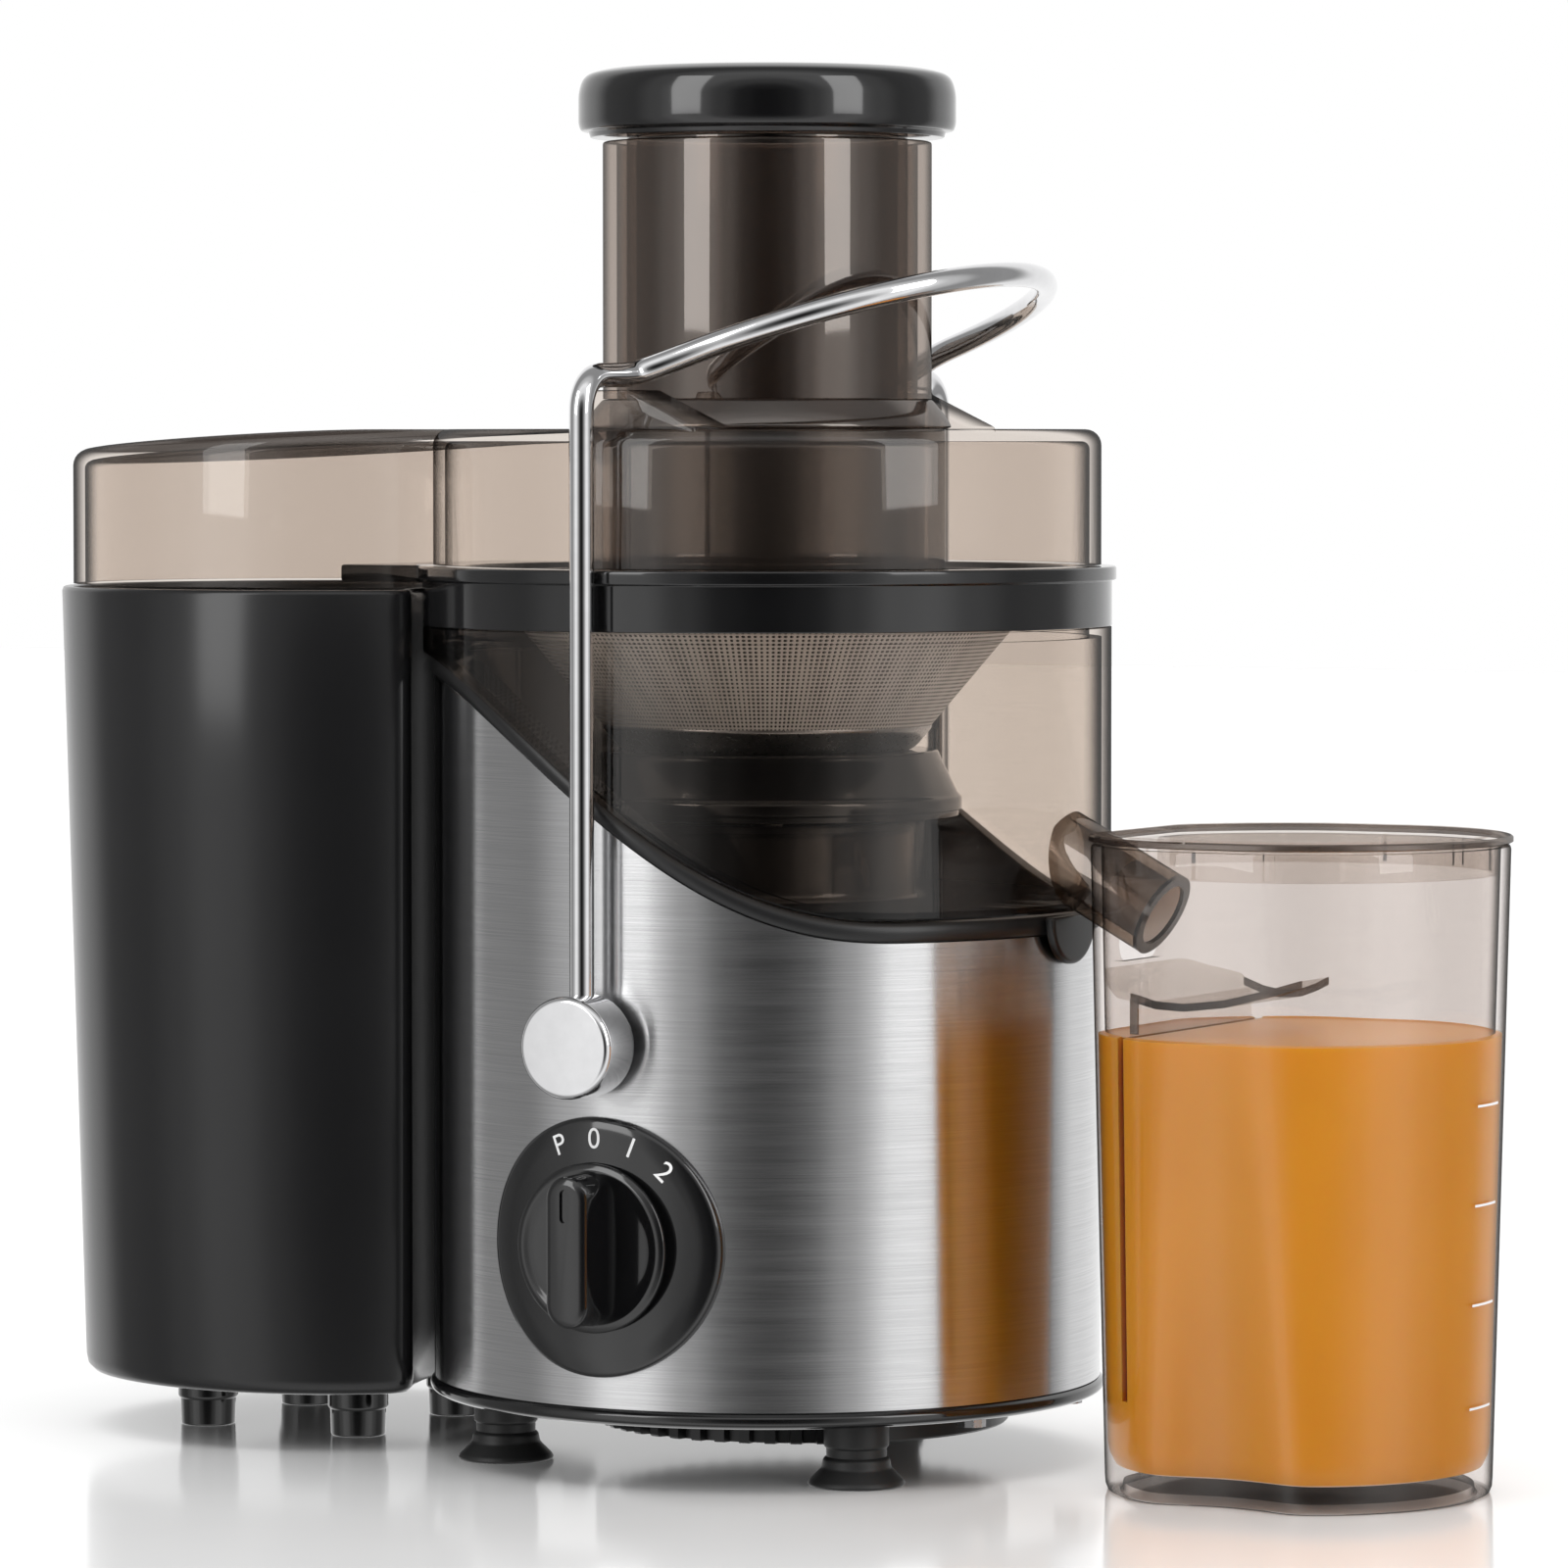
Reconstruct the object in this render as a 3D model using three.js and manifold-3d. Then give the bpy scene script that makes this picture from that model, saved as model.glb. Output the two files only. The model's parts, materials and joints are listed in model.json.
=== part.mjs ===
// Centrifugal juicer: motor base with a steel wrap, juice bowl, spinning strainer, lid with a feed
// chute, pusher, locking arm, speed knob, pulp bin and juice jug. Millimetres, +Z up.
// The origin is on the motor axis at table level; +X is the juice side, -X the pulp side and
// -Y the front with the knob.
import * as THREE from 'three';
import { mergeVertices } from 'three/addons/utils/BufferGeometryUtils.js';
import Module from 'manifold-3d';

const wasm = await Module();
wasm.setup();

// ---------------------------------------------------------------- driving dimensions
const GAP = 0.3; // clearance between neighbouring pieces
const ROUND = 40; // facets of a large round piece
const SMALL = 16; // facets of a small round piece
const TINY = 10; // facets of a screw or a post

const BASE = { rimR: 84.6, plateFoot: 16, plateTop: 19.3, inletR: 20, wrapR: 84, wrapThick: 0.8, wallR: 80.2 };
const DRILL = { outer: 95, inner: 70 }; // reach of a cutting tool through the side of the base
const SWEEP = { low: 134, high: 197, from: 35, to: 150, trim: 4.6 }; // curved top edge of the base
const WRAP_HALF_ANGLE = 144; // the wrap leaves the side that faces the bin bare
const DECK = { foot: 131.2, top: 138.2, bossR: 37, bossTop: 158, bossWall: 3, boreR: 10 };
const REST = { r: 12, reach: 87.4 }; // half-round boss under the spout
const SCREW = { circle: 76.5, headR: 3.6, shankR: 1.8, bossR: 4.6, bossTop: 34, tip: 27 };
const FOOT = { places: [[50, -45], [-50, -45], [0, 66]], cupR: 12, stemR: 7.8, cupTop: 6 };
const VENT = { x: 10, innerR: 46, outerR: 52, rootR: 49.5, foot: 9, teeth: 50, plainHalfAngle: 42 };
const GLAND = { z: 34, r: 7, flangeR: 9.5, boreR: 3.6, outer: 92 };

const BOWL = { cupR: 79.5, wallR: 86.6, wall: 2.5, floor: 138.5, wallTop: 208.5, rimTop: 221 };
const CHIMNEY = { innerR: 37.5, outerR: 39.7, top: 160 };
const COLLAR = { innerR: 83.8, foot: 208.8, shoulder: 220.4, flangeR: 87.8, top: 223.8, lipR: 76 };
const TONGUE = { reach: 103, halfWidth: 38, foot: 219.5 };
const SPOUT = { rootX: 82, mouthX: 111, mouthZ: 139, slope: 28, outerR: 10.7, boreR: 8.2 };

const LID = { r: 84, binX: -127, binR: 69, wall: 3, foot: 224.1, binFoot: 218.3, top: 258 };
const LID_FALL = { x: -85, angle: 3.6 };
const CHUTE = { outerR: 41.3, boreR: 37.8, top: 330, throatR: 44.7, throatBoreR: 39.6, throatFoot: 222 };
const EAR = { inner: 62, outer: 79, back: -9, crestBack: -5, crestFront: 5, front: 26, crest: 267.5 };

const STRAINER = { footR: 41, foot: 183.3, topR: 69, top: 216.6, wall: 1.2, rimR: 73, rimTop: 222.5 };
const HUB = { r: 49, neckR: 43, foot: 161, shoulder: 166, top: 177.5, socketR: 18 };
const SHAFT = { r: 4, foot: 26, top: 190, bore: 4.3 };
const SEAL = { innerR: 5, outerR: 9.7, foot: 154.5 };
const COUPLING = { r: 12, foot: 160.5, top: 174, lobes: 6, lobeR: 3, lobeCircle: 11.6 };
const GRATER = { r: 38, foot: 183.6, thick: 1.4, toothH: 1.6, toothLong: 3, teeth: 18 };
const NUT = { r: 7.5, thick: 4.5 };

const MOTOR = { foot: 64, top: 100, armatureR: 22, poleR: 22.6, poleArc: 76, yokeR: 30, outerR: 38 };
const COIL = { innerR: 24, outerR: 29.5, half: 52, window: 39.5, overhang: 7, leg: 0.4 };
const BEARING = { r: 11, height: 7 };
const BRACKET = { r: 40, thick: 3, low: 53, high: 119, postX: 34, postR: 2.4 };
const MOUNT = { r: 6, circle: 35, angles: [90, 210, 330] };
const FAN = { r: 30, hubR: 9, foot: 38, top: 50, web: 1.6, blades: 8 };
const COMMUTATOR = { r: 11, foot: 103, top: 117 };
const BRUSH = { z: 110, size: 5, inner: 11.4, outer: 24 };
const HOLDER = { inner: 14, outer: 31, back: 2, wall: 2 };
const CAPACITOR = { low: [-58, 22, 24], high: [-32, 36, 42] };
const INTERLOCK = { low: [-10, -70, 100], high: [10, -60, 118] };
const SWITCH = { half: 12, inner: 60, outer: 77, boreEnd: 64 };

const PIVOT = { z: 109, capR: 12.5, capInner: 87.4, capOuter: 101, pinR: 4, boreR: 4.35, boreEnd: 99.2 };
const PIN = { headR: 8, inner: 72, shoulder: 79, outer: 98.4 };
const ARM = { wireR: 3, legY: 92, legTop: 262.5, bend: 8.5, topZ: 271, bailR: 62, bailX: 9, rise: 0.34 };
const PUSHER = { r: 35.3, foot: 199, top: 330.7, wall: 2.5, capR: 47.4, capFoot: 331, capTop: 348.5 };
const DIAL = { z: 59.5, plateR: 31.8, inner: 84.4, outer: 86.4, knobR: 20.7 };
const KNOB = { back: -86.8, disc: -88.7, front: -100.6, gripWide: 11.4, gripTall: 37 };
const KNOB_SHAFT = { r: 3, holeR: 3.6, outer: -96, inner: -65 };
const KNOB_MARK = { half: 1.3, low: 7, high: 15, deep: 0.8 };

const BIN = { topX: -127, topR: 72, lowX: -125, lowR: 68, foot: 14.5, top: 217.7, wall: 3, scoopR: 89.5 };
const BIN_FEET = { nearX: -107, farX: -153, y: 24, r: 7.8 };
const JUG = { x: 148, topR: 51, lowR: 47, top: 157.5, flatX: 103, wall: 2.5, floor: 6 };
const FLUTE = { x: 146, r: 30, topDepth: -1, lowDepth: 8 };
const NOTCH = { halfWidth: 13, foot: 128, deep: 6 };
const JUG_LID = { thick: 2.4, skirt: 7, skirtWall: 2 };
const FROTH = { shelfZ: 118, shelfEnd: 152, plateX: 118, thick: 1.8, foot: 24 };

const INKS = {
  black: { color: 0x0f0f10, roughness: 0.32, metalness: 0 },
  gloss: { color: 0x050506, roughness: 0.1, metalness: 0 },
  smoke: { color: 0x7d7169, roughness: 0.08, metalness: 0, transparent: true, opacity: 0.45 },
  steel: { color: 0xb9babc, roughness: 0.35, metalness: 1 },
  chrome: { color: 0xe4e5e7, roughness: 0.08, metalness: 1 },
  copper: { color: 0xb0643a, roughness: 0.4, metalness: 1 },
  carbon: { color: 0x26272a, roughness: 0.7, metalness: 0.1 },
  rubber: { color: 0x161616, roughness: 0.75, metalness: 0 },
};

const DEG = Math.PI / 180;
const TAU = 2 * Math.PI;

// ---------------------------------------------------------------- solids
function enclosedVolume(positions, index) {
  const [a, b, c] = [new THREE.Vector3(), new THREE.Vector3(), new THREE.Vector3()];
  let volume = 0;
  for (let i = 0; i < index.length; i += 3) {
    a.fromArray(positions, 3 * index[i]);
    b.fromArray(positions, 3 * index[i + 1]);
    c.fromArray(positions, 3 * index[i + 2]);
    volume += a.dot(b.cross(c)) / 6;
  }
  return volume;
}

// The geometry with shared vertices, no empty triangles and its faces pointing outwards.
function sealed(geometry) {
  geometry.deleteAttribute('normal');
  geometry.deleteAttribute('uv');
  const merged = mergeVertices(geometry, 1e-4);
  const positions = merged.attributes.position.array;
  const index = [];
  for (let i = 0; i < merged.index.count; i += 3) {
    const [a, b, c] = merged.index.array.slice(i, i + 3);
    if (a !== b && b !== c && c !== a) index.push(a, b, c);
  }
  if (enclosedVolume(positions, index) < 0) index.reverse();
  merged.setIndex(index);
  return merged;
}

function toManifold(geometry) {
  const shape = sealed(geometry);
  const vertProperties = new Float32Array(shape.attributes.position.array);
  const triVerts = new Uint32Array(shape.index.array);
  return new wasm.Manifold(new wasm.Mesh({ numProp: 3, vertProperties, triVerts }));
}

function toGeometry(manifold) {
  const mesh = manifold.getMesh();
  const geometry = new THREE.BufferGeometry();
  geometry.setAttribute('position', new THREE.BufferAttribute(new Float32Array(mesh.vertProperties), 3));
  geometry.setIndex(new THREE.BufferAttribute(new Uint32Array(mesh.triVerts), 1));
  return geometry;
}

function join(first, ...others) {
  const start = toManifold(first);
  return toGeometry(others.reduce((whole, other) => whole.add(toManifold(other)), start));
}

function cut(first, ...others) {
  const start = toManifold(first);
  return toGeometry(others.reduce((whole, other) => whole.subtract(toManifold(other)), start));
}

function common(first, second) {
  return toGeometry(toManifold(first).intersect(toManifold(second)));
}

// A turned solid about Z. The profile is [radius, height] pairs.
function turned(profile, facets = ROUND) {
  const points = profile.map(([r, z]) => new THREE.Vector2(r, z));
  return sealed(new THREE.LatheGeometry(points, facets).rotateX(Math.PI / 2));
}

function disc(radius, foot, top, facets = ROUND) {
  return turned([[0, foot], [radius, foot], [radius, top], [0, top]], facets);
}

function cone(footR, topR, foot, top, facets = ROUND) {
  return turned([[0, foot], [footR, foot], [topR, top], [0, top]], facets);
}

function ring(inner, outer, foot, top, facets = ROUND) {
  return turned([[inner, foot], [outer, foot], [outer, top], [inner, top], [inner, foot]], facets);
}

function pinX(radius, from, to, y, z, facets = SMALL) {
  return disc(radius, from, to, facets).rotateY(Math.PI / 2).translate(0, y, z);
}

function pinY(radius, from, to, x, z, facets = SMALL) {
  return disc(radius, from, to, facets).rotateX(-Math.PI / 2).translate(x, 0, z);
}

function pinZ(radius, from, to, x, y, facets = SMALL) {
  return disc(radius, from, to, facets).translate(x, y, 0);
}

function block([x0, y0, z0], [x1, y1, z1]) {
  const box = new THREE.BoxGeometry(x1 - x0, y1 - y0, z1 - z0);
  return sealed(box.translate((x0 + x1) / 2, (y0 + y1) / 2, (z0 + z1) / 2));
}

// A flat outline in X and Z, drawn as [x, z] points and given its width along Y.
function slabXZ(outline, from, to) {
  const shape = new THREE.Shape(outline.map(([x, z]) => new THREE.Vector2(x, z)));
  const slab = new THREE.ExtrudeGeometry(shape, { depth: to - from, bevelEnabled: false });
  return sealed(slab.rotateX(Math.PI / 2).translate(0, to, 0));
}

// A profile of [radius, height] corners carried round Z. Either may be a function of the angle in
// degrees. An open stretch, shorter than a full turn, takes a convex profile.
function sweptWall(profile, from = 0, to = 360, step = 360 / ROUND) {
  const corners = profile.length;
  const closed = to - from >= 360;
  const count = Math.round((to - from) / step);
  const stations = closed ? count : count + 1;
  const at = (value, angle) => (typeof value === 'function' ? value(angle) : value);
  const positions = [];
  for (let i = 0; i < stations; i += 1) {
    const angle = from + ((to - from) * i) / count;
    profile.forEach(([radius, height]) => {
      const r = at(radius, angle);
      positions.push(r * Math.cos(angle * DEG), r * Math.sin(angle * DEG), at(height, angle));
    });
  }
  const index = [];
  for (let i = 0; i < count; i += 1) {
    const here = corners * i;
    const next = corners * ((i + 1) % stations);
    for (let k = 0; k < corners; k += 1) {
      const after = (k + 1) % corners;
      index.push(here + k, next + k, next + after, here + k, next + after, here + after);
    }
  }
  if (!closed) {
    const last = corners * count;
    for (let k = 1; k < corners - 1; k += 1) {
      index.push(0, k, k + 1, last, last + k + 1, last + k);
    }
  }
  const wall = new THREE.BufferGeometry();
  wall.setAttribute('position', new THREE.Float32BufferAttribute(positions, 3));
  wall.setIndex(index);
  return sealed(wall);
}

function curvedWall(inner, outer, from, to, foot, top, step) {
  return sweptWall([[inner, foot], [outer, foot], [outer, top], [inner, top]], from, to, step);
}

// ---------------------------------------------------------------- motor base
// The angle from +X, between -180 and 180 degrees.
function sideAngle(angle) {
  return ((angle + 540) % 360) - 180;
}

// Height of the base's top edge: low under the spout, high beside the bin.
function sweepEdge(angle) {
  const turn = Math.abs(sideAngle(angle));
  const t = THREE.MathUtils.smootherstep(turn, SWEEP.from, SWEEP.to);
  return SWEEP.low + (SWEEP.high - SWEEP.low) * t;
}

const trimTop = (angle) => sweepEdge(angle) + SWEEP.trim;

function screwPlaces() {
  return [20, 160, 200, 340].map((angle) => [
    SCREW.circle * Math.cos(angle * DEG),
    SCREW.circle * Math.sin(angle * DEG),
  ]);
}

function screwHole(top, x, y) {
  return pinZ(SCREW.shankR + GAP, 10, top, x, y, TINY);
}

// The pivot pins' holes, the knob shaft's hole and the cord gland's hole.
function sideHoles() {
  return [
    pinY(PIVOT.boreR, -DRILL.outer, DRILL.outer, 0, PIVOT.z),
    pinY(KNOB_SHAFT.holeR, -DRILL.outer, -DRILL.inner, 0, DIAL.z),
    pinY(GLAND.r + GAP, DRILL.inner, DRILL.outer, 0, GLAND.z),
  ];
}

function motorHousing() {
  const foot = BASE.plateTop + GAP;
  const { bossR, bossTop, bossWall, boreR } = DECK;
  const trimR = BASE.wrapR + GAP;
  const skinR = (angle) => {
    const underWrap = Math.abs(sideAngle(angle)) < WRAP_HALF_ANGLE + 1;
    return BASE.wrapR - (underWrap ? BASE.wrapThick + GAP : 0);
  };
  const shell = sweptWall([
    [BASE.wallR, foot], [skinR, foot], [skinR, sweepEdge], [trimR, sweepEdge],
    [trimR, trimTop], [BASE.wallR, trimTop],
  ]);
  const deck = turned([
    [bossR - bossWall, DECK.foot], [BASE.wallR + 1, DECK.foot], [BASE.wallR + 1, DECK.top],
    [bossR, DECK.top], [bossR, bossTop], [boreR, bossTop], [boreR, bossTop - bossWall],
    [bossR - bossWall, bossTop - bossWall], [bossR - bossWall, DECK.foot],
  ]);
  const restTop = trimTop(0) - 0.15;
  const spoutRest = join(
    block([BASE.wrapR - 2, -REST.r + 1, SWEEP.low + GAP], [REST.reach - 1, REST.r - 1, restTop - 0.1]),
    common(
      pinX(REST.r, BASE.wrapR + 2 * GAP, REST.reach, 0, restTop),
      block([80, -20, 100], [90, 20, restTop]),
    ),
  );
  const screwBosses = screwPlaces().map(([x, y]) => (
    pinZ(SCREW.bossR, foot + GAP, SCREW.bossTop, x, y, TINY)
  ));
  const pilotHoles = screwPlaces().map(([x, y]) => screwHole(SCREW.tip + 1, x, y));
  return cut(
    join(shell, deck, spoutRest, ...screwBosses),
    ...pilotHoles,
    ...sideHoles(),
  );
}

function steelWrap() {
  const half = WRAP_HALF_ANGLE;
  const sheet = curvedWall(
    BASE.wrapR - BASE.wrapThick, BASE.wrapR, -half, half,
    BASE.plateTop + 2 * GAP, (angle) => sweepEdge(angle) - GAP,
  );
  return cut(sheet, ...sideHoles());
}

function basePlate() {
  const plate = ring(BASE.inletR, BASE.rimR, BASE.plateFoot, BASE.plateTop);
  const holes = screwPlaces().map(([x, y]) => screwHole(BASE.plateTop + 1, x, y));
  return cut(plate, ...holes);
}

function baseScrew() {
  const underPlate = BASE.plateFoot - GAP;
  return turned([
    [0, underPlate - 2], [SCREW.headR, underPlate - 2], [SCREW.headR, underPlate],
    [SCREW.shankR, underPlate], [SCREW.shankR, SCREW.tip], [0, SCREW.tip],
  ], TINY);
}

// A ring of air slots whose spout side is plain.
function ventRing() {
  const outline = [];
  for (let tooth = 0; tooth < VENT.teeth; tooth += 1) {
    const middle = sideAngle((360 * (tooth + 0.5)) / VENT.teeth);
    const slotR = Math.abs(middle) < VENT.plainHalfAngle ? VENT.outerR : VENT.rootR;
    [[0, slotR], [0.08, VENT.outerR], [0.5, VENT.outerR], [0.58, slotR]].forEach(([part, r]) => {
      const angle = (TAU * (tooth + part)) / VENT.teeth;
      outline.push(new THREE.Vector2(r * Math.cos(angle), r * Math.sin(angle)));
    });
  }
  const shape = new THREE.Shape(outline);
  const depth = BASE.plateFoot - GAP - VENT.foot;
  const teeth = new THREE.ExtrudeGeometry(shape, { depth, bevelEnabled: false });
  return cut(teeth.translate(0, 0, VENT.foot), disc(VENT.innerR, 0, 30)).translate(VENT.x, 0, 0);
}

function suctionFoot() {
  const top = BASE.plateFoot - GAP;
  return turned([
    [0, 0], [FOOT.cupR, 0], [FOOT.cupR, 1.2], [FOOT.stemR + 0.6, FOOT.cupTop],
    [FOOT.stemR, FOOT.cupTop], [FOOT.stemR, top], [0, top],
  ], SMALL);
}

function cordGland() {
  const inner = BASE.wallR - 4;
  return turned([
    [0, inner], [GLAND.flangeR, inner], [GLAND.flangeR, inner + 3], [GLAND.r, inner + 3],
    [GLAND.r, GLAND.outer], [GLAND.boreR, GLAND.outer], [GLAND.boreR, inner + 5], [0, inner + 5],
  ], SMALL).rotateX(-Math.PI / 2).translate(0, 0, GLAND.z);
}

// ---------------------------------------------------------------- motor
function stator() {
  const yoke = ring(MOTOR.yokeR, MOTOR.outerR, MOTOR.foot, MOTOR.top);
  const pole = (from) => curvedWall(
    MOTOR.poleR, MOTOR.yokeR + 1, from, from + MOTOR.poleArc, MOTOR.foot, MOTOR.top, MOTOR.poleArc / 8,
  );
  return join(yoke, pole(90 - MOTOR.poleArc / 2), pole(270 - MOTOR.poleArc / 2));
}

function fieldCoil(middle) {
  const body = curvedWall(
    COIL.innerR, COIL.outerR, middle - COIL.half, middle + COIL.half,
    MOTOR.foot - COIL.overhang, MOTOR.top + COIL.overhang, 8,
  );
  const window = curvedWall(
    COIL.innerR - 3, COIL.outerR + 3, middle - COIL.window, middle + COIL.window,
    MOTOR.foot - COIL.leg, MOTOR.top + COIL.leg, COIL.window / 4,
  );
  return cut(body, window);
}

function motorBracket(foot, postFoot, postTop) {
  const seatR = BEARING.r + GAP;
  const seatTop = foot + BEARING.height;
  const plate = turned([
    [seatR, foot], [BRACKET.r, foot], [BRACKET.r, foot + BRACKET.thick],
    [seatR + 3, foot + BRACKET.thick], [seatR + 3, seatTop], [seatR, seatTop], [seatR, foot],
  ], SMALL);
  const posts = [-BRACKET.postX, BRACKET.postX].map((x) => (
    pinZ(BRACKET.postR, postFoot, postTop, x, 0, TINY)
  ));
  return join(plate, ...posts);
}

function bearing(foot) {
  return ring(SHAFT.r + GAP, BEARING.r, foot, foot + BEARING.height, SMALL);
}

function brushHolder() {
  const half = BRUSH.size / 2 + HOLDER.wall;
  const slot = BRUSH.size / 2 + GAP;
  return cut(
    block([HOLDER.inner, -half, BRUSH.z - half], [HOLDER.outer, half, BRUSH.z + half]),
    block([HOLDER.inner - 1, -slot, BRUSH.z - slot], [HOLDER.outer - HOLDER.back, slot, BRUSH.z + slot]),
  );
}

function carbonBrush() {
  const half = BRUSH.size / 2;
  return block([BRUSH.inner, -half, BRUSH.z - half], [BRUSH.outer, half, BRUSH.z + half]);
}

function rotarySwitch() {
  const { half, inner, outer, boreEnd } = SWITCH;
  const body = block([-half, -outer, DIAL.z - half], [half, -inner, DIAL.z + half]);
  return cut(body, pinY(KNOB_SHAFT.r + GAP, -outer - 1, -boreEnd, 0, DIAL.z));
}

function pivotPin() {
  return turned([
    [0, PIN.inner], [PIN.headR, PIN.inner], [PIN.headR, PIN.shoulder],
    [PIVOT.pinR, PIN.shoulder], [PIVOT.pinR, PIN.outer], [0, PIN.outer],
  ], SMALL).rotateX(Math.PI / 2).translate(0, 0, PIVOT.z);
}

// ---------------------------------------------------------------- spinning parts
function coolingFan() {
  const hub = ring(SHAFT.bore, FAN.hubR, FAN.foot, FAN.top, SMALL);
  const web = ring(SHAFT.bore, FAN.r, FAN.foot, FAN.foot + FAN.web, SMALL);
  const blades = [];
  for (let k = 0; k < FAN.blades; k += 1) {
    const blade = block([FAN.hubR - 1, -0.8, FAN.foot + 1], [FAN.r - 1, 0.8, FAN.top - 1]);
    blades.push(blade.rotateZ((TAU * k) / FAN.blades));
  }
  return join(hub, web, ...blades);
}

function strainerHub() {
  return turned([
    [SHAFT.bore, HUB.top], [HUB.neckR, HUB.top], [HUB.r, HUB.shoulder], [HUB.r, HUB.foot],
    [HUB.r - 3, HUB.foot], [HUB.r - 3, HUB.shoulder - 1], [HUB.neckR - 2, HUB.top - 3],
    [HUB.socketR, HUB.top - 3], [HUB.socketR, HUB.foot + 1], [HUB.socketR - 2.4, HUB.foot + 1],
    [HUB.socketR - 2.4, HUB.top - 3], [SHAFT.bore, HUB.top - 3], [SHAFT.bore, HUB.top],
  ], 32);
}

function driveCoupling() {
  const { r, foot, top, lobeR, lobeCircle } = COUPLING;
  const lobes = [];
  for (let k = 0; k < COUPLING.lobes; k += 1) {
    const lobe = pinZ(lobeR, foot + 2, top - 0.4, lobeCircle, 0, 8);
    lobes.push(lobe.rotateZ((TAU * (k + 0.3)) / COUPLING.lobes));
  }
  return join(ring(SHAFT.bore, r, foot, top, SMALL), ...lobes);
}

function strainerMesh() {
  return turned([
    [STRAINER.footR - STRAINER.wall, STRAINER.foot], [STRAINER.footR, STRAINER.foot],
    [STRAINER.topR, STRAINER.top], [STRAINER.topR - STRAINER.wall, STRAINER.top],
    [STRAINER.footR - STRAINER.wall, STRAINER.foot],
  ]);
}

function strainerRim() {
  const foot = STRAINER.top + GAP;
  return turned([
    [STRAINER.topR - 2, foot], [STRAINER.topR + 1, foot], [STRAINER.rimR, foot + 2.5],
    [STRAINER.rimR, STRAINER.rimTop], [STRAINER.topR - 2, STRAINER.rimTop],
    [STRAINER.topR - 2, foot],
  ]);
}

function strainerFootRing() {
  return turned([
    [30, HUB.top + GAP], [37.5, HUB.top + GAP], [STRAINER.footR, STRAINER.foot - GAP],
    [30, STRAINER.foot - GAP], [30, HUB.top + GAP],
  ]);
}

function graterDisc() {
  const top = GRATER.foot + GRATER.thick;
  const plate = ring(SHAFT.bore, GRATER.r, GRATER.foot, top);
  const teeth = [];
  for (let k = 0; k < GRATER.teeth; k += 1) {
    const r = 16 + 9 * (k % 3);
    const end = r + GRATER.toothLong;
    const tooth = slabXZ([[r, top - 0.2], [end, top - 0.2], [end, top + GRATER.toothH]], -1, 1);
    teeth.push(tooth.rotateZ((TAU * k) / GRATER.teeth));
  }
  return join(plate, ...teeth);
}

function graterNut() {
  const foot = GRATER.foot + GRATER.thick + GAP;
  const top = foot + NUT.thick;
  return cut(disc(NUT.r, foot, top, 6), disc(SHAFT.bore, foot - 1, top + 1, SMALL));
}

// ---------------------------------------------------------------- bowl and lid
function spoutSolid(radius, fromX, toX) {
  const slope = SPOUT.slope * DEG;
  const length = (toX - fromX) / Math.cos(slope);
  const tube = disc(radius, -length, 0, 32).rotateY(Math.PI / 2 + slope);
  const drop = (toX - SPOUT.mouthX) * Math.tan(slope);
  return tube.translate(toX, 0, SPOUT.mouthZ - drop);
}

function juiceBowl() {
  const { cupR, wallR, wall, floor, wallTop, rimTop } = BOWL;
  const rimR = COLLAR.innerR - GAP;
  const ledge = (angle) => trimTop(angle) + 2 * GAP;
  const ledgeTop = (angle) => ledge(angle) + 1.8;
  const walls = sweptWall([
    [cupR - wall, floor], [cupR, floor], [cupR, ledge], [wallR, ledge], [wallR, wallTop],
    [rimR, wallTop], [rimR, rimTop], [rimR - wall, rimTop], [rimR - wall, wallTop - wall],
    [wallR - wall, wallTop - wall], [wallR - wall, ledgeTop], [cupR - wall, ledgeTop],
  ]);
  const base = turned([
    [CHIMNEY.innerR, floor], [cupR - 1.2, floor], [cupR - 1.2, floor + wall],
    [CHIMNEY.outerR, floor + wall], [CHIMNEY.outerR, CHIMNEY.top], [CHIMNEY.innerR, CHIMNEY.top],
    [CHIMNEY.innerR, floor],
  ]);
  const spout = cut(
    spoutSolid(SPOUT.outerR, SPOUT.rootX, SPOUT.mouthX),
    disc(wallR - 1, 100, wallTop),
  );
  return cut(
    join(walls, base, spout),
    spoutSolid(SPOUT.boreR, SPOUT.rootX - 8, SPOUT.mouthX + 2),
  );
}

function bowlCollar() {
  const band = turned([
    [COLLAR.innerR, COLLAR.foot], [BOWL.wallR, COLLAR.foot], [BOWL.wallR, COLLAR.shoulder],
    [COLLAR.flangeR, COLLAR.shoulder], [COLLAR.flangeR, COLLAR.top], [COLLAR.lipR, COLLAR.top],
    [COLLAR.lipR, BOWL.rimTop + GAP], [COLLAR.innerR, BOWL.rimTop + GAP],
    [COLLAR.innerR, COLLAR.foot],
  ]);
  const { reach, halfWidth, foot } = TONGUE;
  const tongue = cut(
    block([-reach, -halfWidth, foot], [-COLLAR.innerR + 20, halfWidth, COLLAR.top]),
    disc(COLLAR.innerR + 1, foot - 1, COLLAR.top + 1),
  );
  return join(band, tongue);
}

// The lid's outer form for inset 0, and its hollow when drawn in by the wall's thickness.
function lidForm(inset) {
  const foot = inset ? LID.foot - 10 : LID.foot;
  const binFoot = inset ? LID.binFoot - 10 : LID.binFoot;
  const top = LID.top - inset;
  const fall = block([-200, -100, 0], [0, 100, 50]).rotateY(-LID_FALL.angle * DEG);
  return cut(
    join(
      disc(LID.r - inset, foot, top),
      pinZ(LID.binR - inset, binFoot, top, LID.binX, 0, ROUND),
    ),
    fall.translate(LID_FALL.x, 0, top),
  );
}

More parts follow.
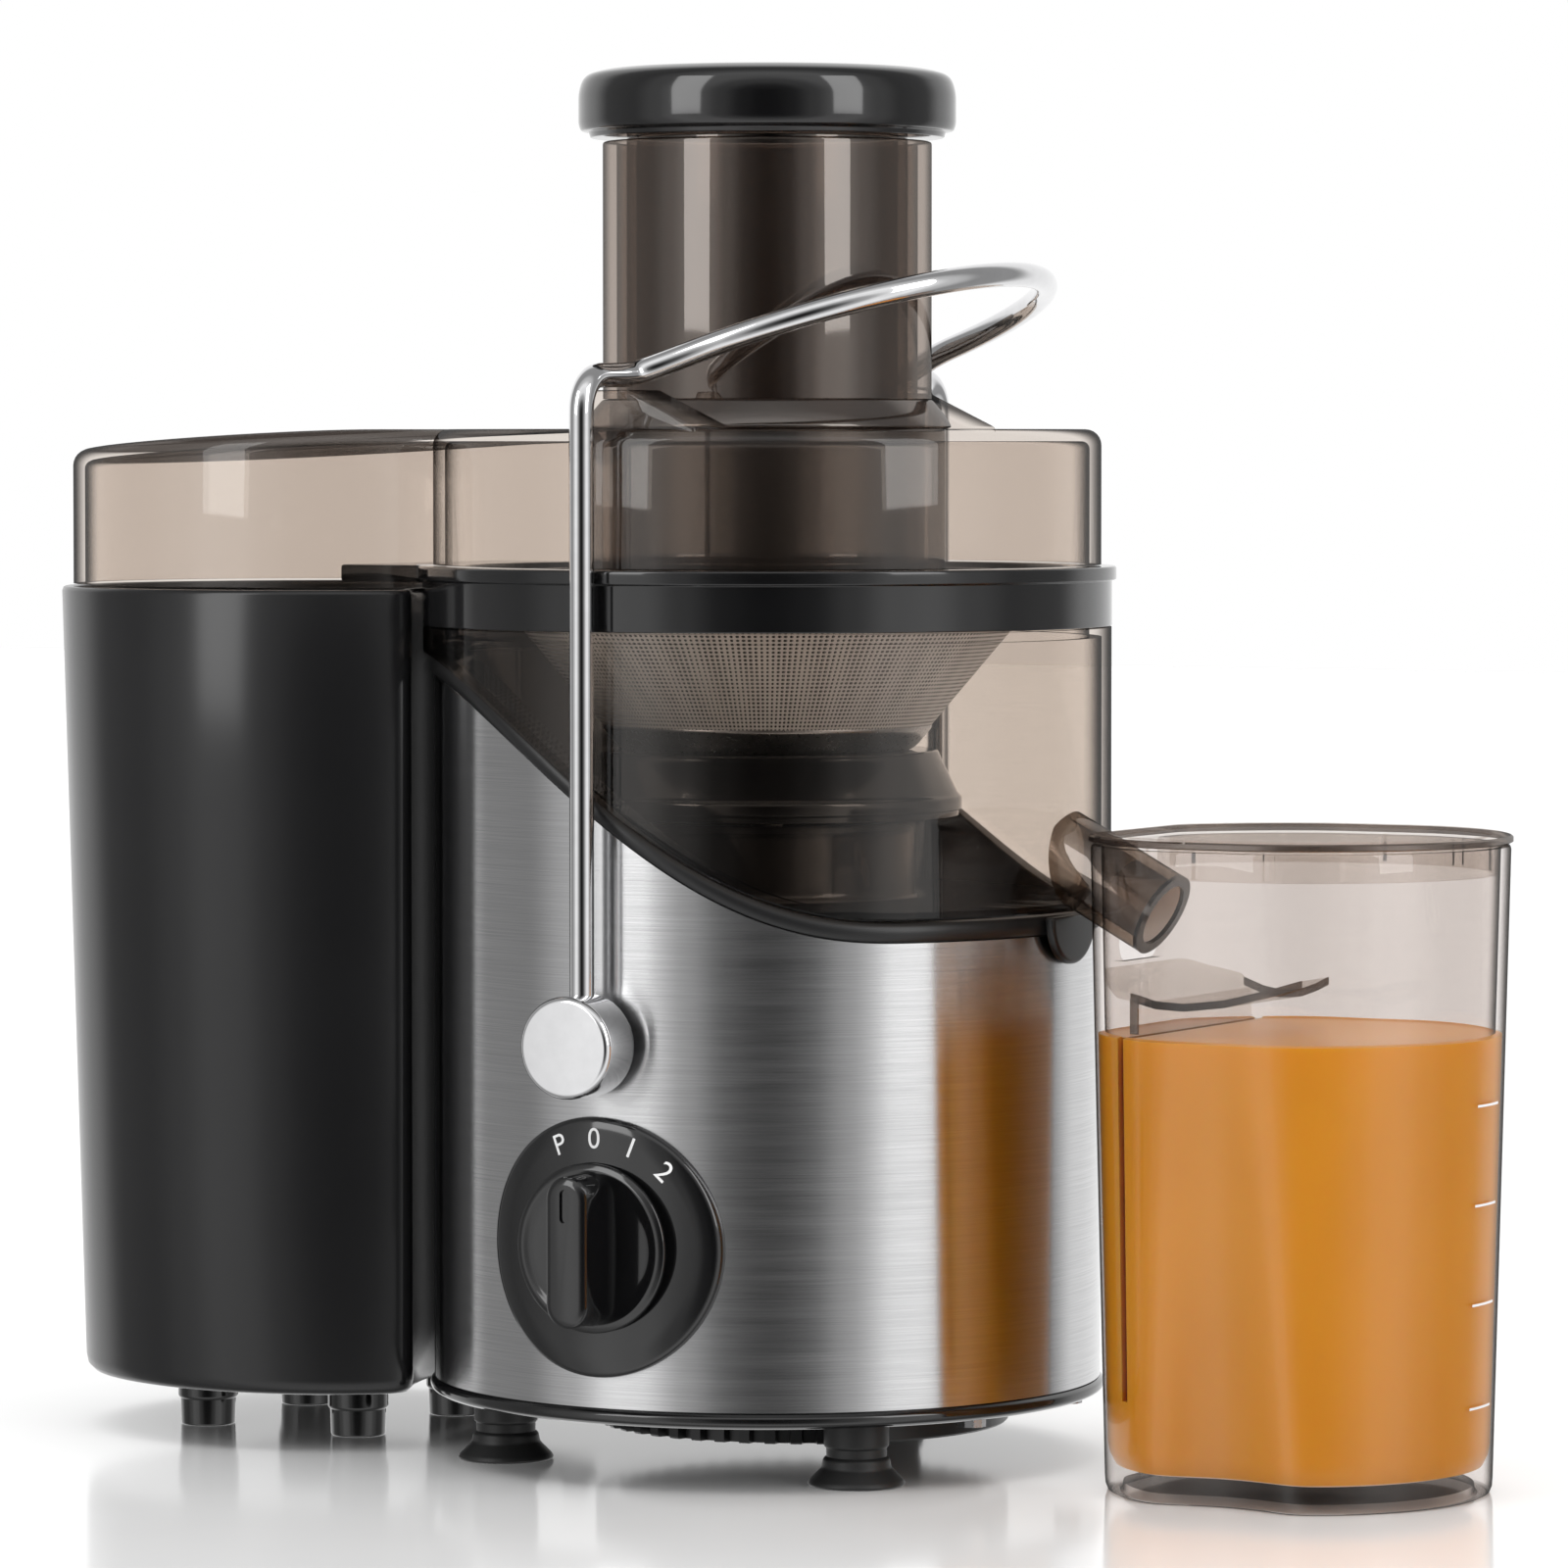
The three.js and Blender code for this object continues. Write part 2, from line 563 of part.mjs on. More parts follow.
function lidEar(side) {
  const outline = [
    [EAR.back, LID.top - 1], [EAR.front, LID.top - 1], [EAR.front, LID.top + 0.4],
    [EAR.crestFront, EAR.crest], [EAR.crestBack, EAR.crest], [EAR.back, LID.top + 4],
  ];
  const [from, to] = side < 0 ? [-EAR.outer, -EAR.inner] : [EAR.inner, EAR.outer];
  return slabXZ(outline, from, to);
}

function lid() {
  const flangeRoom = disc(COLLAR.flangeR + 0.5, LID.binFoot - 1, LID.foot);
  const shell = cut(lidForm(0), lidForm(LID.wall), flangeRoom);
  const chute = turned([
    [CHUTE.throatBoreR, CHUTE.throatFoot], [CHUTE.throatR, CHUTE.throatFoot],
    [CHUTE.throatR, LID.top + 3], [CHUTE.outerR, LID.top + 7], [CHUTE.outerR, CHUTE.top],
    [CHUTE.boreR, CHUTE.top], [CHUTE.boreR, LID.top], [CHUTE.throatBoreR, LID.top],
    [CHUTE.throatBoreR, CHUTE.throatFoot],
  ]);
  const bore = disc(CHUTE.throatBoreR + 1, LID.foot, LID.top + 1);
  return join(cut(shell, bore), chute, lidEar(-1), lidEar(1));
}

// ---------------------------------------------------------------- moving parts outside
function armPath() {
  const { legY, legTop, topZ, bailR, bailX, rise, bend } = ARM;
  const bail = (angle) => {
    const x = bailX + bailR * Math.cos(angle * DEG);
    return new THREE.Vector3(x, bailR * Math.sin(angle * DEG), topZ + 1 + rise * x);
  };
  const nearSide = [
    new THREE.Vector3(0, -legY, PIVOT.z + 6),
    new THREE.Vector3(0, -legY, 190),
    new THREE.Vector3(0, -legY, legTop - 8),
    new THREE.Vector3(0, -legY, legTop),
    new THREE.Vector3(0, -legY + bend * 0.3, topZ - bend * 0.3),
    new THREE.Vector3(0, -legY + bend, topZ),
    new THREE.Vector3(0, -legY + 20, topZ),
    new THREE.Vector3(1.5, -bailR - 4, topZ + 0.6),
  ];
  const farSide = nearSide.map((p) => new THREE.Vector3(p.x, -p.y, p.z)).reverse();
  const curve = [];
  for (let angle = -85; angle <= 85; angle += 17) curve.push(bail(angle));
  return new THREE.CatmullRomCurve3([...nearSide, ...curve, ...farSide], false, 'centripetal');
}

function lockingArm() {
  const section = [];
  for (let k = 0; k < 8; k += 1) {
    const angle = (TAU * k) / 8;
    section.push(new THREE.Vector2(ARM.wireR * Math.cos(angle), ARM.wireR * Math.sin(angle)));
  }
  const wire = new THREE.ExtrudeGeometry(new THREE.Shape(section), {
    extrudePath: armPath(), steps: 76, bevelEnabled: false,
  });
  return sealed(wire);
}

function pivotCap() {
  const cap = turned([
    [PIVOT.boreR, PIVOT.capInner], [PIVOT.capR, PIVOT.capInner], [PIVOT.capR, PIVOT.capOuter - 1],
    [PIVOT.capR - 1, PIVOT.capOuter], [0, PIVOT.capOuter], [0, PIVOT.boreEnd], [PIVOT.boreR, PIVOT.boreEnd],
    [PIVOT.boreR, PIVOT.capInner],
  ], 32);
  const placed = cap.rotateX(Math.PI / 2).translate(0, 0, PIVOT.z);
  return cut(placed, pinZ(ARM.wireR + GAP, PIVOT.z + 5.6, PIVOT.z + 20, 0, -ARM.legY, 16));
}

function pusherTube() {
  const inner = PUSHER.r - PUSHER.wall;
  return turned([
    [0, PUSHER.foot], [PUSHER.r, PUSHER.foot], [PUSHER.r, PUSHER.top], [inner, PUSHER.top],
    [inner, PUSHER.foot + PUSHER.wall], [0, PUSHER.foot + PUSHER.wall],
  ]);
}

function pusherCap() {
  const { capR, capFoot, capTop } = PUSHER;
  return turned([
    [0, capFoot + 3], [PUSHER.r - 3, capFoot + 3], [PUSHER.r - 3, capFoot], [capR - 2.4, capFoot],
    [capR - 2, capFoot + 1.6], [capR, capFoot + 2], [capR, capTop - 6], [capR - 1.8, capTop - 2],
    [capR - 6, capTop - 0.6], [0, capTop],
  ]);
}

function dialPlate() {
  const band = curvedWall(DIAL.inner, DIAL.outer, 240, 300, DIAL.z - 40, DIAL.z + 40, 6);
  const plate = common(band, pinY(DIAL.plateR, -DRILL.outer, -DRILL.inner, 0, DIAL.z, ROUND));
  return cut(plate, pinY(KNOB_SHAFT.holeR, -DRILL.outer, -DRILL.inner, 0, DIAL.z));
}

function speedKnob() {
  const face = pinY(DIAL.knobR, KNOB.disc, KNOB.back, 0, DIAL.z, 40);
  const halfWide = KNOB.gripWide / 2;
  const straight = KNOB.gripTall / 2 - halfWide;
  const grip = join(
    block([-halfWide, KNOB.front, DIAL.z - straight], [halfWide, KNOB.disc + 1, DIAL.z + straight]),
    pinY(halfWide, KNOB.front, KNOB.disc + 1, 0, DIAL.z - straight),
    pinY(halfWide, KNOB.front, KNOB.disc + 1, 0, DIAL.z + straight),
  );
  const socket = pinY(KNOB_SHAFT.r + GAP, KNOB_SHAFT.outer - 0.5, KNOB.back + 1, 0, DIAL.z);
  const { half, low, high, deep } = KNOB_MARK;
  const mark = block([-half, KNOB.front - 1, DIAL.z + low], [half, KNOB.front + deep, DIAL.z + high]);
  return cut(join(face, grip), socket, mark);
}

// ---------------------------------------------------------------- pulp bin
function binForm(inset, foot, top) {
  const lean = (BIN.topX - BIN.lowX) / (BIN.top - BIN.foot);
  const leaning = new THREE.Matrix4().set(
    1, 0, lean, BIN.lowX - lean * BIN.foot,
    0, 1, 0, 0,
    0, 0, 1, 0,
    0, 0, 0, 1,
  );
  const draft = (BIN.topR - BIN.lowR) / (BIN.top - BIN.foot);
  const radius = (z) => BIN.lowR - inset + draft * (z - BIN.foot);
  const drum = cone(radius(foot), radius(top), foot, top).applyMatrix4(leaning);
  return cut(drum, disc(BIN.scoopR + inset, foot - 1, top + 1, 60));
}

function pulpBin() {
  const walls = cut(
    binForm(0, BIN.foot, BIN.top),
    binForm(BIN.wall, BIN.foot + BIN.wall, BIN.top + 1),
  );
  const feet = [];
  [BIN_FEET.nearX, BIN_FEET.farX].forEach((x) => {
    [-BIN_FEET.y, BIN_FEET.y].forEach((y) => feet.push(pinZ(BIN_FEET.r, 0, BIN.foot + 1, x, y)));
  });
  return join(walls, ...feet);
}

// ---------------------------------------------------------------- jug
// The jug's form drawn in by an inset: a tapered drum with a flat side and two finger flutes.
function jugForm(inset, foot, top) {
  const draft = (JUG.topR - JUG.lowR) / JUG.top;
  const radius = (z) => JUG.lowR - inset + draft * z;
  const drum = cone(radius(foot), radius(top), foot, top, 48).translate(JUG.x, 0, 0);
  const flatSide = block([-100, -100, foot - 1], [JUG.flatX + inset, 100, top + 1]);
  const flutes = [-1, 1].map((side) => {
    const lean = (FLUTE.lowDepth - FLUTE.topDepth + JUG.topR - JUG.lowR) / JUG.top;
    const flute = disc(FLUTE.r + inset, -10, JUG.top + 20, 30);
    flute.rotateX(-side * Math.atan(lean));
    return flute.translate(FLUTE.x, side * (JUG.lowR + FLUTE.r - FLUTE.lowDepth), 0);
  });
  return cut(drum, flatSide, ...flutes);
}

function juiceJug() {
  const halfNotch = NOTCH.halfWidth;
  return cut(
    jugForm(0, 0, JUG.top),
    jugForm(JUG.wall, JUG.floor, JUG.top + 1),
    block([JUG.flatX - 10, -halfNotch, NOTCH.foot], [JUG.flatX + NOTCH.deep, halfNotch, JUG.top + 1]),
  );
}

function jugLid() {
  const foot = JUG.top + GAP;
  const skirtInset = JUG.wall + GAP;
  const skirtFoot = JUG.top - JUG_LID.skirt;
  const cover = jugForm(0, JUG.top - 1, JUG.top).translate(0, 0, 1 - JUG.top);
  cover.scale(1, 1, JUG_LID.thick).translate(0, 0, foot);
  const skirt = cut(
    jugForm(skirtInset, skirtFoot, foot + 0.2),
    jugForm(skirtInset + JUG_LID.skirtWall, skirtFoot - 1, foot + 1),
    block([90, -NOTCH.halfWidth - 1, 100], [120, NOTCH.halfWidth + 1, foot + 1]),
  );
  return join(cover, skirt);
}

function frothSeparator() {
  const { shelfZ, shelfEnd, plateX, thick, foot } = FROTH;
  const outline = [
    [JUG.flatX, shelfZ + 6], [plateX, shelfZ], [shelfEnd - 14, shelfZ - 2], [shelfEnd, shelfZ + 3],
    [shelfEnd, shelfZ + 1], [shelfEnd - 14, shelfZ - 2 - thick], [plateX + thick, shelfZ - thick],
    [plateX + thick, foot], [plateX, foot], [plateX, shelfZ - thick], [JUG.flatX, shelfZ + 6 - thick],
  ];
  const room = jugForm(JUG.wall + GAP, JUG.floor + 1, JUG.top);
  return common(slabXZ(outline, -60, 60), room);
}

// ---------------------------------------------------------------- assembly
function piece(name, geometry, ink) {
  const surface = sealed(geometry);
  surface.computeVertexNormals();
  const mesh = new THREE.Mesh(surface, new THREE.MeshStandardMaterial(INKS[ink]));
  mesh.name = name;
  return mesh;
}

const group = new THREE.Group();

group.add(
  piece('motor_housing', motorHousing(), 'black'),
  piece('steel_wrap', steelWrap(), 'steel'),
  piece('base_plate', basePlate(), 'black'),
  piece('vent_ring', ventRing(), 'black'),
  piece('cord_gland', cordGland(), 'rubber'),
  piece('dial_plate', dialPlate(), 'gloss'),
  piece('juice_bowl', juiceBowl(), 'smoke'),
  piece('bowl_collar', bowlCollar(), 'gloss'),
  piece('lid', lid(), 'smoke'),
  piece('shaft_seal', ring(SEAL.innerR, SEAL.outerR, SEAL.foot, DECK.bossTop, SMALL), 'rubber'),
);

screwPlaces().forEach(([x, y], i) => {
  const screw = piece(`base_screw_${i + 1}`, baseScrew(), 'steel');
  screw.position.set(x, y, 0);
  group.add(screw);
});

FOOT.places.forEach(([x, y], i) => {
  const foot = piece(`suction_foot_${i + 1}`, suctionFoot(), 'rubber');
  foot.position.set(x, y, 0);
  group.add(foot);
});

const motor = new THREE.Group();
motor.add(
  piece('motor_stator', stator(), 'steel'),
  piece('field_coil_front', fieldCoil(270), 'copper'),
  piece('field_coil_rear', fieldCoil(90), 'copper'),
  piece('motor_bracket_low', motorBracket(BRACKET.low, BRACKET.low + 1, MOTOR.foot - GAP), 'steel'),
  piece('motor_bracket_high', motorBracket(BRACKET.high, MOTOR.top + GAP, BRACKET.high + 1), 'steel'),
  piece('bearing_low', bearing(BRACKET.low - 1), 'chrome'),
  piece('bearing_high', bearing(BRACKET.high - 1), 'chrome'),
  piece('rotary_switch', rotarySwitch(), 'black'),
  piece('emc_capacitor', block(CAPACITOR.low, CAPACITOR.high), 'carbon'),
);
[['right', 0], ['left', Math.PI]].forEach(([side, turn]) => {
  const holder = piece(`brush_holder_${side}`, brushHolder(), 'black');
  const brush = piece(`carbon_brush_${side}`, carbonBrush(), 'carbon');
  holder.rotation.z = turn;
  brush.rotation.z = turn;
  motor.add(holder, brush);
});
MOUNT.angles.forEach((angle, i) => {
  const pad = disc(MOUNT.r, BRACKET.high + BRACKET.thick + GAP, DECK.foot - GAP, SMALL);
  const mount = piece(`motor_mount_${i + 1}`, pad, 'rubber');
  mount.position.set(MOUNT.circle * Math.cos(angle * DEG), MOUNT.circle * Math.sin(angle * DEG), 0);
  motor.add(mount);
});
[['front', 0], ['rear', Math.PI]].forEach(([side, turn]) => {
  const interlock = piece(`interlock_switch_${side}`, block(INTERLOCK.low, INTERLOCK.high), 'black');
  const pin = piece(`pivot_pin_${side}`, pivotPin(), 'steel');
  interlock.rotation.z = turn;
  pin.rotation.z = turn;
  motor.add(interlock, pin);
});
group.add(motor);

const rotor = new THREE.Group();
rotor.add(
  piece('motor_shaft', disc(SHAFT.r, SHAFT.foot, SHAFT.top, SMALL), 'steel'),
  piece('armature', ring(SHAFT.bore, MOTOR.armatureR, MOTOR.foot, MOTOR.top, 36), 'steel'),
  piece('commutator', ring(SHAFT.bore, COMMUTATOR.r, COMMUTATOR.foot, COMMUTATOR.top, 24), 'copper'),
  piece('cooling_fan', coolingFan(), 'black'),
  piece('drive_coupling', driveCoupling(), 'black'),
  piece('strainer_hub', strainerHub(), 'black'),
  piece('strainer_foot_ring', strainerFootRing(), 'steel'),
  piece('strainer_mesh', strainerMesh(), 'steel'),
  piece('strainer_rim', strainerRim(), 'gloss'),
  piece('grater_disc', graterDisc(), 'steel'),
  piece('grater_nut', graterNut(), 'steel'),
);
group.add(rotor);

const arm = new THREE.Group();
arm.add(piece('locking_arm', lockingArm(), 'chrome'));
[['front', 0], ['rear', Math.PI]].forEach(([side, turn]) => {
  const cap = piece(`pivot_cap_${side}`, pivotCap(), 'chrome');
  cap.rotation.z = turn;
  arm.add(cap);
});
group.add(arm);

const knob = new THREE.Group();
knob.add(
  piece('speed_knob', speedKnob(), 'gloss'),
  piece('knob_shaft', pinY(KNOB_SHAFT.r, KNOB_SHAFT.outer, KNOB_SHAFT.inner, 0, DIAL.z), 'steel'),
);
group.add(knob);

const pusher = new THREE.Group();
pusher.add(piece('pusher_tube', pusherTube(), 'smoke'), piece('pusher_cap', pusherCap(), 'gloss'));
group.add(pusher);

group.add(piece('pulp_bin', pulpBin(), 'gloss'));

const jug = new THREE.Group();
jug.add(
  piece('juice_jug', juiceJug(), 'smoke'),
  piece('froth_separator', frothSeparator(), 'smoke'),
  piece('jug_lid', jugLid(), 'smoke'),
);
group.add(jug);

export default group;
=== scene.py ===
"""The looks of a centrifugal juicer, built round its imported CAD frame.

Shapes are in millimetres in the frame's axes and become metres in skin(). +X is the juice side,
-X the pulp side, -Y the front with the knob, and the motor's axis is Z.
"""

import json
from math import acos, atan2, copysign, cos, exp, log, pi, radians, sin, sqrt, tan, tau

import bmesh
import bpy
from mathutils import Matrix, Vector


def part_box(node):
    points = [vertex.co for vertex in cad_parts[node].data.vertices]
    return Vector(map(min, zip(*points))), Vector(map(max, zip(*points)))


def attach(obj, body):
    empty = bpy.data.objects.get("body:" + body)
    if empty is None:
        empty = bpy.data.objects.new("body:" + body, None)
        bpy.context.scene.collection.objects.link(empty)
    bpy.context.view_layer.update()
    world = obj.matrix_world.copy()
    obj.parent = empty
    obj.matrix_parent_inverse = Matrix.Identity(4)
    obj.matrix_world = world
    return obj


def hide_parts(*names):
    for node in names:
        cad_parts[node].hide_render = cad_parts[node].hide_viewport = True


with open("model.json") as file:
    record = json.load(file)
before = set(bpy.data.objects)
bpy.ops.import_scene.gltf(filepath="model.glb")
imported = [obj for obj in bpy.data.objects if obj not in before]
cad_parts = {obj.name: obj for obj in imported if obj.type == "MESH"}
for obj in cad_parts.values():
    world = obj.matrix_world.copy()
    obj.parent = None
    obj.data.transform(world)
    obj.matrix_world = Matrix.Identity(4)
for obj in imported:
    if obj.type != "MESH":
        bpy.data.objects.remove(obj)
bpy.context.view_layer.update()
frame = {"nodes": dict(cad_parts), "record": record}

MM = 0.001
SHARP = 34  # degrees between faces beyond which an edge stays sharp
WELD = 2e-6  # metres within which points of a skin become one


def cad(node):
    """A CAD node's lowest and highest corner in millimetres."""
    low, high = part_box(node)
    return low / MM, high / MM


# ---- sizes, from the frame
WRAP_R = cad("steel_wrap")[1].y
WRAP_FOOT = cad("steel_wrap")[0].z
PLATE_FOOT, PLATE_TOP = cad("base_plate")[0].z, cad("base_plate")[1].z
# The base's top edge rises between two angles from +X, and has a trim bead along it.
SWEEP = {"low": 134.0, "high": 197.0, "from": 35.0, "to": 150.0, "trim": 4.6}
WRAP_HALF_ANGLE = 144
WALL_R = 80.2
DECK_TOP, BOSS_R, BOSS_TOP = 138.2, 37.0, 158.0

BOWL_R = cad("juice_bowl")[1].y
CUP_R, BOWL_WALL, BOWL_FLOOR, BOWL_WALL_TOP = 79.5, 2.5, 138.5, 208.5
BOWL_RIM_R, BOWL_RIM_TOP = 83.5, cad("juice_bowl")[1].z
COLLAR_FOOT, COLLAR_TOP = cad("bowl_collar")[0].z, cad("bowl_collar")[1].z
FLANGE_R = cad("bowl_collar")[1].y
SPOUT = {"root": 82.0, "mouth": 111.0, "z": 139.0, "slope": 28.0, "outer": 10.7, "bore": 8.2}
SHEET = 0.6  # the strainer's thickness

LID = {"r": 84.0, "bin_x": -127.0, "bin_r": 69.0, "wall": 3.0, "top": 258.0}
LID_FOOT, LID_BIN_FOOT = 224.1, cad("lid")[0].z
LID_FALL_X, LID_FALL = -85.0, tan(radians(3.6))
CHUTE_TOP = cad("lid")[1].z
CHUTE = {"bore": 37.8, "r": 41.3}
THROAT = {"bore": 39.6, "r": 44.7, "foot": 222}
EAR_REACH = (62, 79)

ARM = {
    "wire": 3.0, "leg_y": 92.0, "top": 271.0, "bend": 8.5,
    "bail_r": 62.0, "bail_x": 9.0, "rise": 0.34,
}
PIVOT_Z = 109.0
DIAL_Z, DIAL_R, DIAL_FACE, DIAL_BACK = 59.5, 31.8, 86.4, 84.2
DIAL_MARKS = {
    "size": 7.2, "r": 26.4, "proud": 0.06,
    "angles": (("P", -22.0), ("0", 0.0), ("1", 22.0), ("2", 44.0)),
}
GRIP_SLOT = {"half_width": 1.35, "half_height": 4.2, "up": 11.2, "deep": 0.7}
KNOB_BACK, KNOB_FRONT = cad("speed_knob")[1].y, cad("speed_knob")[0].y

BIN = {
    "top_x": -127.0, "top_r": 72.0, "low_x": -125.0, "low_r": 68.0,
    "foot": 14.5, "wall": 3.0, "scoop": 89.5,
    "corner": 5.0,
}
BIN_STUDS = ((-107, -24), (-107, 24), (-153, -24), (-153, 24))
BIN_TOP = cad("pulp_bin")[1].z
JUG = {
    "x": 148.0, "top_r": 51.0, "low_r": 47.0, "flat": 103.0,
    "wall": 2.5, "floor": 6.0, "corner": 3.0,
}
JUG_MARKS = {
    "azimuth": 2.0, "wide": 13.0, "half_tall": 0.3,
    "proud": 0.06, "heights": (23.0, 48.0, 72.0, 96.0),
}
FLUTE = {"x": 146.0, "r": 30.0, "deep": 8.0, "blend": 3.0, "clear_of_axis": 20}
COVER_RIBS = {"r": 47.2, "angles": (-118, -96, -74, -52, -30, 30, 60, 90, 120)}
SHELF_PLATE = {"x": 118, "thick": 1.8, "foot": 24, "half_wide": 50, "neck": 32}
JUG_TOP = cad("juice_jug")[1].z
JUICE_LEVEL = 112.0


# ---- mesh tools
def smooth(obj, angle=SHARP):
    obj.data.shade_smooth()
    obj.data.set_sharp_from_angle(angle=radians(angle))
    return obj


def add_object(name, data):
    obj = bpy.data.objects.new(name, data)
    bpy.context.scene.collection.objects.link(obj)
    return obj


def curve_mesh(curve):
    """The mesh that a curve or a text gives."""
    source = add_object(curve.name, curve)
    bpy.context.view_layer.update()
    mesh = bpy.data.meshes.new_from_object(source.evaluated_get(bpy.context.evaluated_depsgraph_get()))
    bpy.data.objects.remove(source)
    return mesh


def skin(name, rows, loop_rows=False, loop_cols=False, caps=False, sharp=SHARP):
    """A mesh of quads over rows of (x, y, z) points in millimetres, closed as asked."""
    n_rows, n_cols = len(rows), len(rows[0])
    lengths = [0.0]
    for a, b in zip(rows[0], rows[0][1:]):
        lengths.append(lengths[-1] + (Vector(b) - Vector(a)).length)
    bm = bmesh.new()
    uv_layer = bm.loops.layers.uv.new("UVMap")
    verts = [[bm.verts.new(Vector(p) * MM) for p in row] for row in rows]
    for i in range(n_rows if loop_rows else n_rows - 1):
        for j in range(n_cols if loop_cols else n_cols - 1):
            i2, j2 = (i + 1) % n_rows, (j + 1) % n_cols
            face = bm.faces.new((verts[i][j], verts[i2][j], verts[i2][j2], verts[i][j2]))
            v0, v1 = lengths[j], lengths[j + 1] if j + 1 < n_cols else lengths[j]
            corners = ((i, v0), (i + 1, v0), (i + 1, v1), (i, v1))
            for loop, (u, v) in zip(face.loops, corners):
                loop[uv_layer].uv = (u / n_rows, v * MM)
    if caps:
        bm.faces.new(verts[0])
        bm.faces.new(reversed(verts[-1]))
    bmesh.ops.remove_doubles(bm, verts=bm.verts, dist=WELD)
    bmesh.ops.recalc_face_normals(bm, faces=bm.faces)
    mesh = bpy.data.meshes.new(name)
    bm.to_mesh(mesh)
    bm.free()
    return smooth(add_object(name, mesh), sharp)


def eased(before, here, after, parts):
    """Points on the curve that leaves one side of a corner and joins the other."""
    for s in range(parts + 1):
        t = s / parts
        yield tuple(before * (1 - t) ** 2 + here * 2 * t * (1 - t) + after * t**2)


def rounded(profile, closed=False, parts=6):
    """The profile with each corner that has a third number rounded by about that radius."""
    longest = 0.48  # the share of a side that a corner may use up
    out = []
    count = len(profile)
    for k, point in enumerate(profile):
        here = Vector(point[:2])
        radius = point[2] if len(point) > 2 else 0
        if not radius or (not closed and k in (0, count - 1)):
            out.append(tuple(here))
            continue
        before = Vector(profile[k - 1][:2]) - here
        after = Vector(profile[(k + 1) % count][:2]) - here
        reach = min(radius, longest * before.length, longest * after.length)
        start, end = here + before.normalized() * reach, here + after.normalized() * reach
        out.extend(eased(start, here, end, parts))
    return out


def turned(name, profile, closed=False, steps=160, sharp=SHARP):
    """A solid turned about Z from corners of (radius, height) or (radius, height, rounding)."""
    points = rounded(profile, closed)
    rows = []
    for i in range(steps):
        a = tau * i / steps
        rows.append([(r * cos(a), r * sin(a), z) for r, z in points])
    return skin(name, rows, loop_rows=True, loop_cols=closed, sharp=sharp)


def swept(name, profile, start=0.0, end=360.0, step=2.0, sharp=SHARP):
    """A closed profile of (radius, height) corners, each a number or a function of the angle."""
    full = end - start >= 360
    count = round((end - start) / step)
    rows = []
    for i in range(count if full else count + 1):
        angle = start + (end - start) * i / count
        a = radians(angle)
        row = []
        for r, z in profile:
            r = r(angle) if callable(r) else r
            z = z(angle) if callable(z) else z
            row.append((r * cos(a), r * sin(a), z))
        rows.append(row)
    return skin(name, rows, loop_rows=full, loop_cols=True, caps=not full, sharp=sharp)


def loft(name, outlines, sharp=SHARP):
    """A closed solid through closed outlines of equal length."""
    return skin(name, outlines, loop_cols=True, caps=True, sharp=sharp)


def along(name, path, radius, sides=28):
    """A round bar along a path."""
    path = [Vector(p) for p in path]
    tangent = (path[1] - path[0]).normalized()
    normal = tangent.orthogonal().normalized()
    rows = []
    for k, p in enumerate(path):
        ahead = (path[min(k + 1, len(path) - 1)] - path[max(k - 1, 0)]).normalized()
        normal = (tangent.rotation_difference(ahead) @ normal).normalized()
        normal = (normal - ahead * normal.dot(ahead)).normalized()
        tangent = ahead
        side = tangent.cross(normal)
        ring = []
        for s in range(sides):
            a = tau * s / sides
            ring.append(tuple(p + normal * radius * cos(a) + side * radius * sin(a)))
        rows.append(ring)
    return loft(name, rows)


def box(name, low, high):
    """A block between two corners."""
    (x0, y0, z0), (x1, y1, z1) = low, high
    outline = [(x0, y0), (x1, y0), (x1, y1), (x0, y1)]
    return loft(name, [[(x, y, z) for x, y in outline] for z in (z0, z1)])


def settle(obj):
    """Applies the modifiers."""
    bpy.context.view_layer.update()
    graph = bpy.context.evaluated_depsgraph_get()
    mesh = bpy.data.meshes.new_from_object(obj.evaluated_get(graph))
    obj.modifiers.clear()
    old = obj.data
    obj.data = mesh
    bpy.data.meshes.remove(old)
    mesh.name = obj.name
    return obj


def bevel(obj, width, segments=3, angle=40):
    """Rounds the edges that turn by more than the angle in degrees."""
    mod = obj.modifiers.new("edges", "BEVEL")
    mod.width = width * MM
    mod.segments = segments
    mod.limit_method = "ANGLE"
    mod.angle_limit = radians(angle)
    return smooth(settle(obj), angle)


def boolean(obj, tools, operation):
    for tool in tools:
        mod = obj.modifiers.new("cut", "BOOLEAN")
        mod.operation = operation
        mod.solver = "EXACT"
        mod.object = tool
    settle(obj)
    for tool in tools:
        bpy.data.objects.remove(tool)
    return smooth(obj)


def carve(obj, *tools):
    return boolean(obj, tools, "DIFFERENCE")


def fuse(obj, *tools):
    return boolean(obj, tools, "UNION")


def place(obj, matrix):
    """Moves the mesh itself, so that the object stays at the origin. The matrix is in millimetres."""
    scaled = matrix.copy()
    scaled.translation = matrix.translation * MM
    obj.data.transform(scaled)
    return obj


def shift(obj, x, y, z=0.0):
    return place(obj, Matrix.Translation((x, y, z)))


def turned_by(angle, axis, x=0.0, y=0.0, z=0.0):
    """A turn about an axis in degrees, then a move."""
    return Matrix.Translation((x, y, z)) @ Matrix.Rotation(radians(angle), 4, axis)


# ---- material tools
def material(name, color, roughness, metallic=0.0):
    mat = bpy.data.materials.new(name)
    mat.use_nodes = True
    shader = mat.node_tree.nodes["Principled BSDF"]
    shader.inputs["Base Color"].default_value = (*color, 1)
    shader.inputs["Roughness"].default_value = roughness
    shader.inputs["Metallic"].default_value = metallic
    mat.diffuse_color = (*color, 1)
    return mat


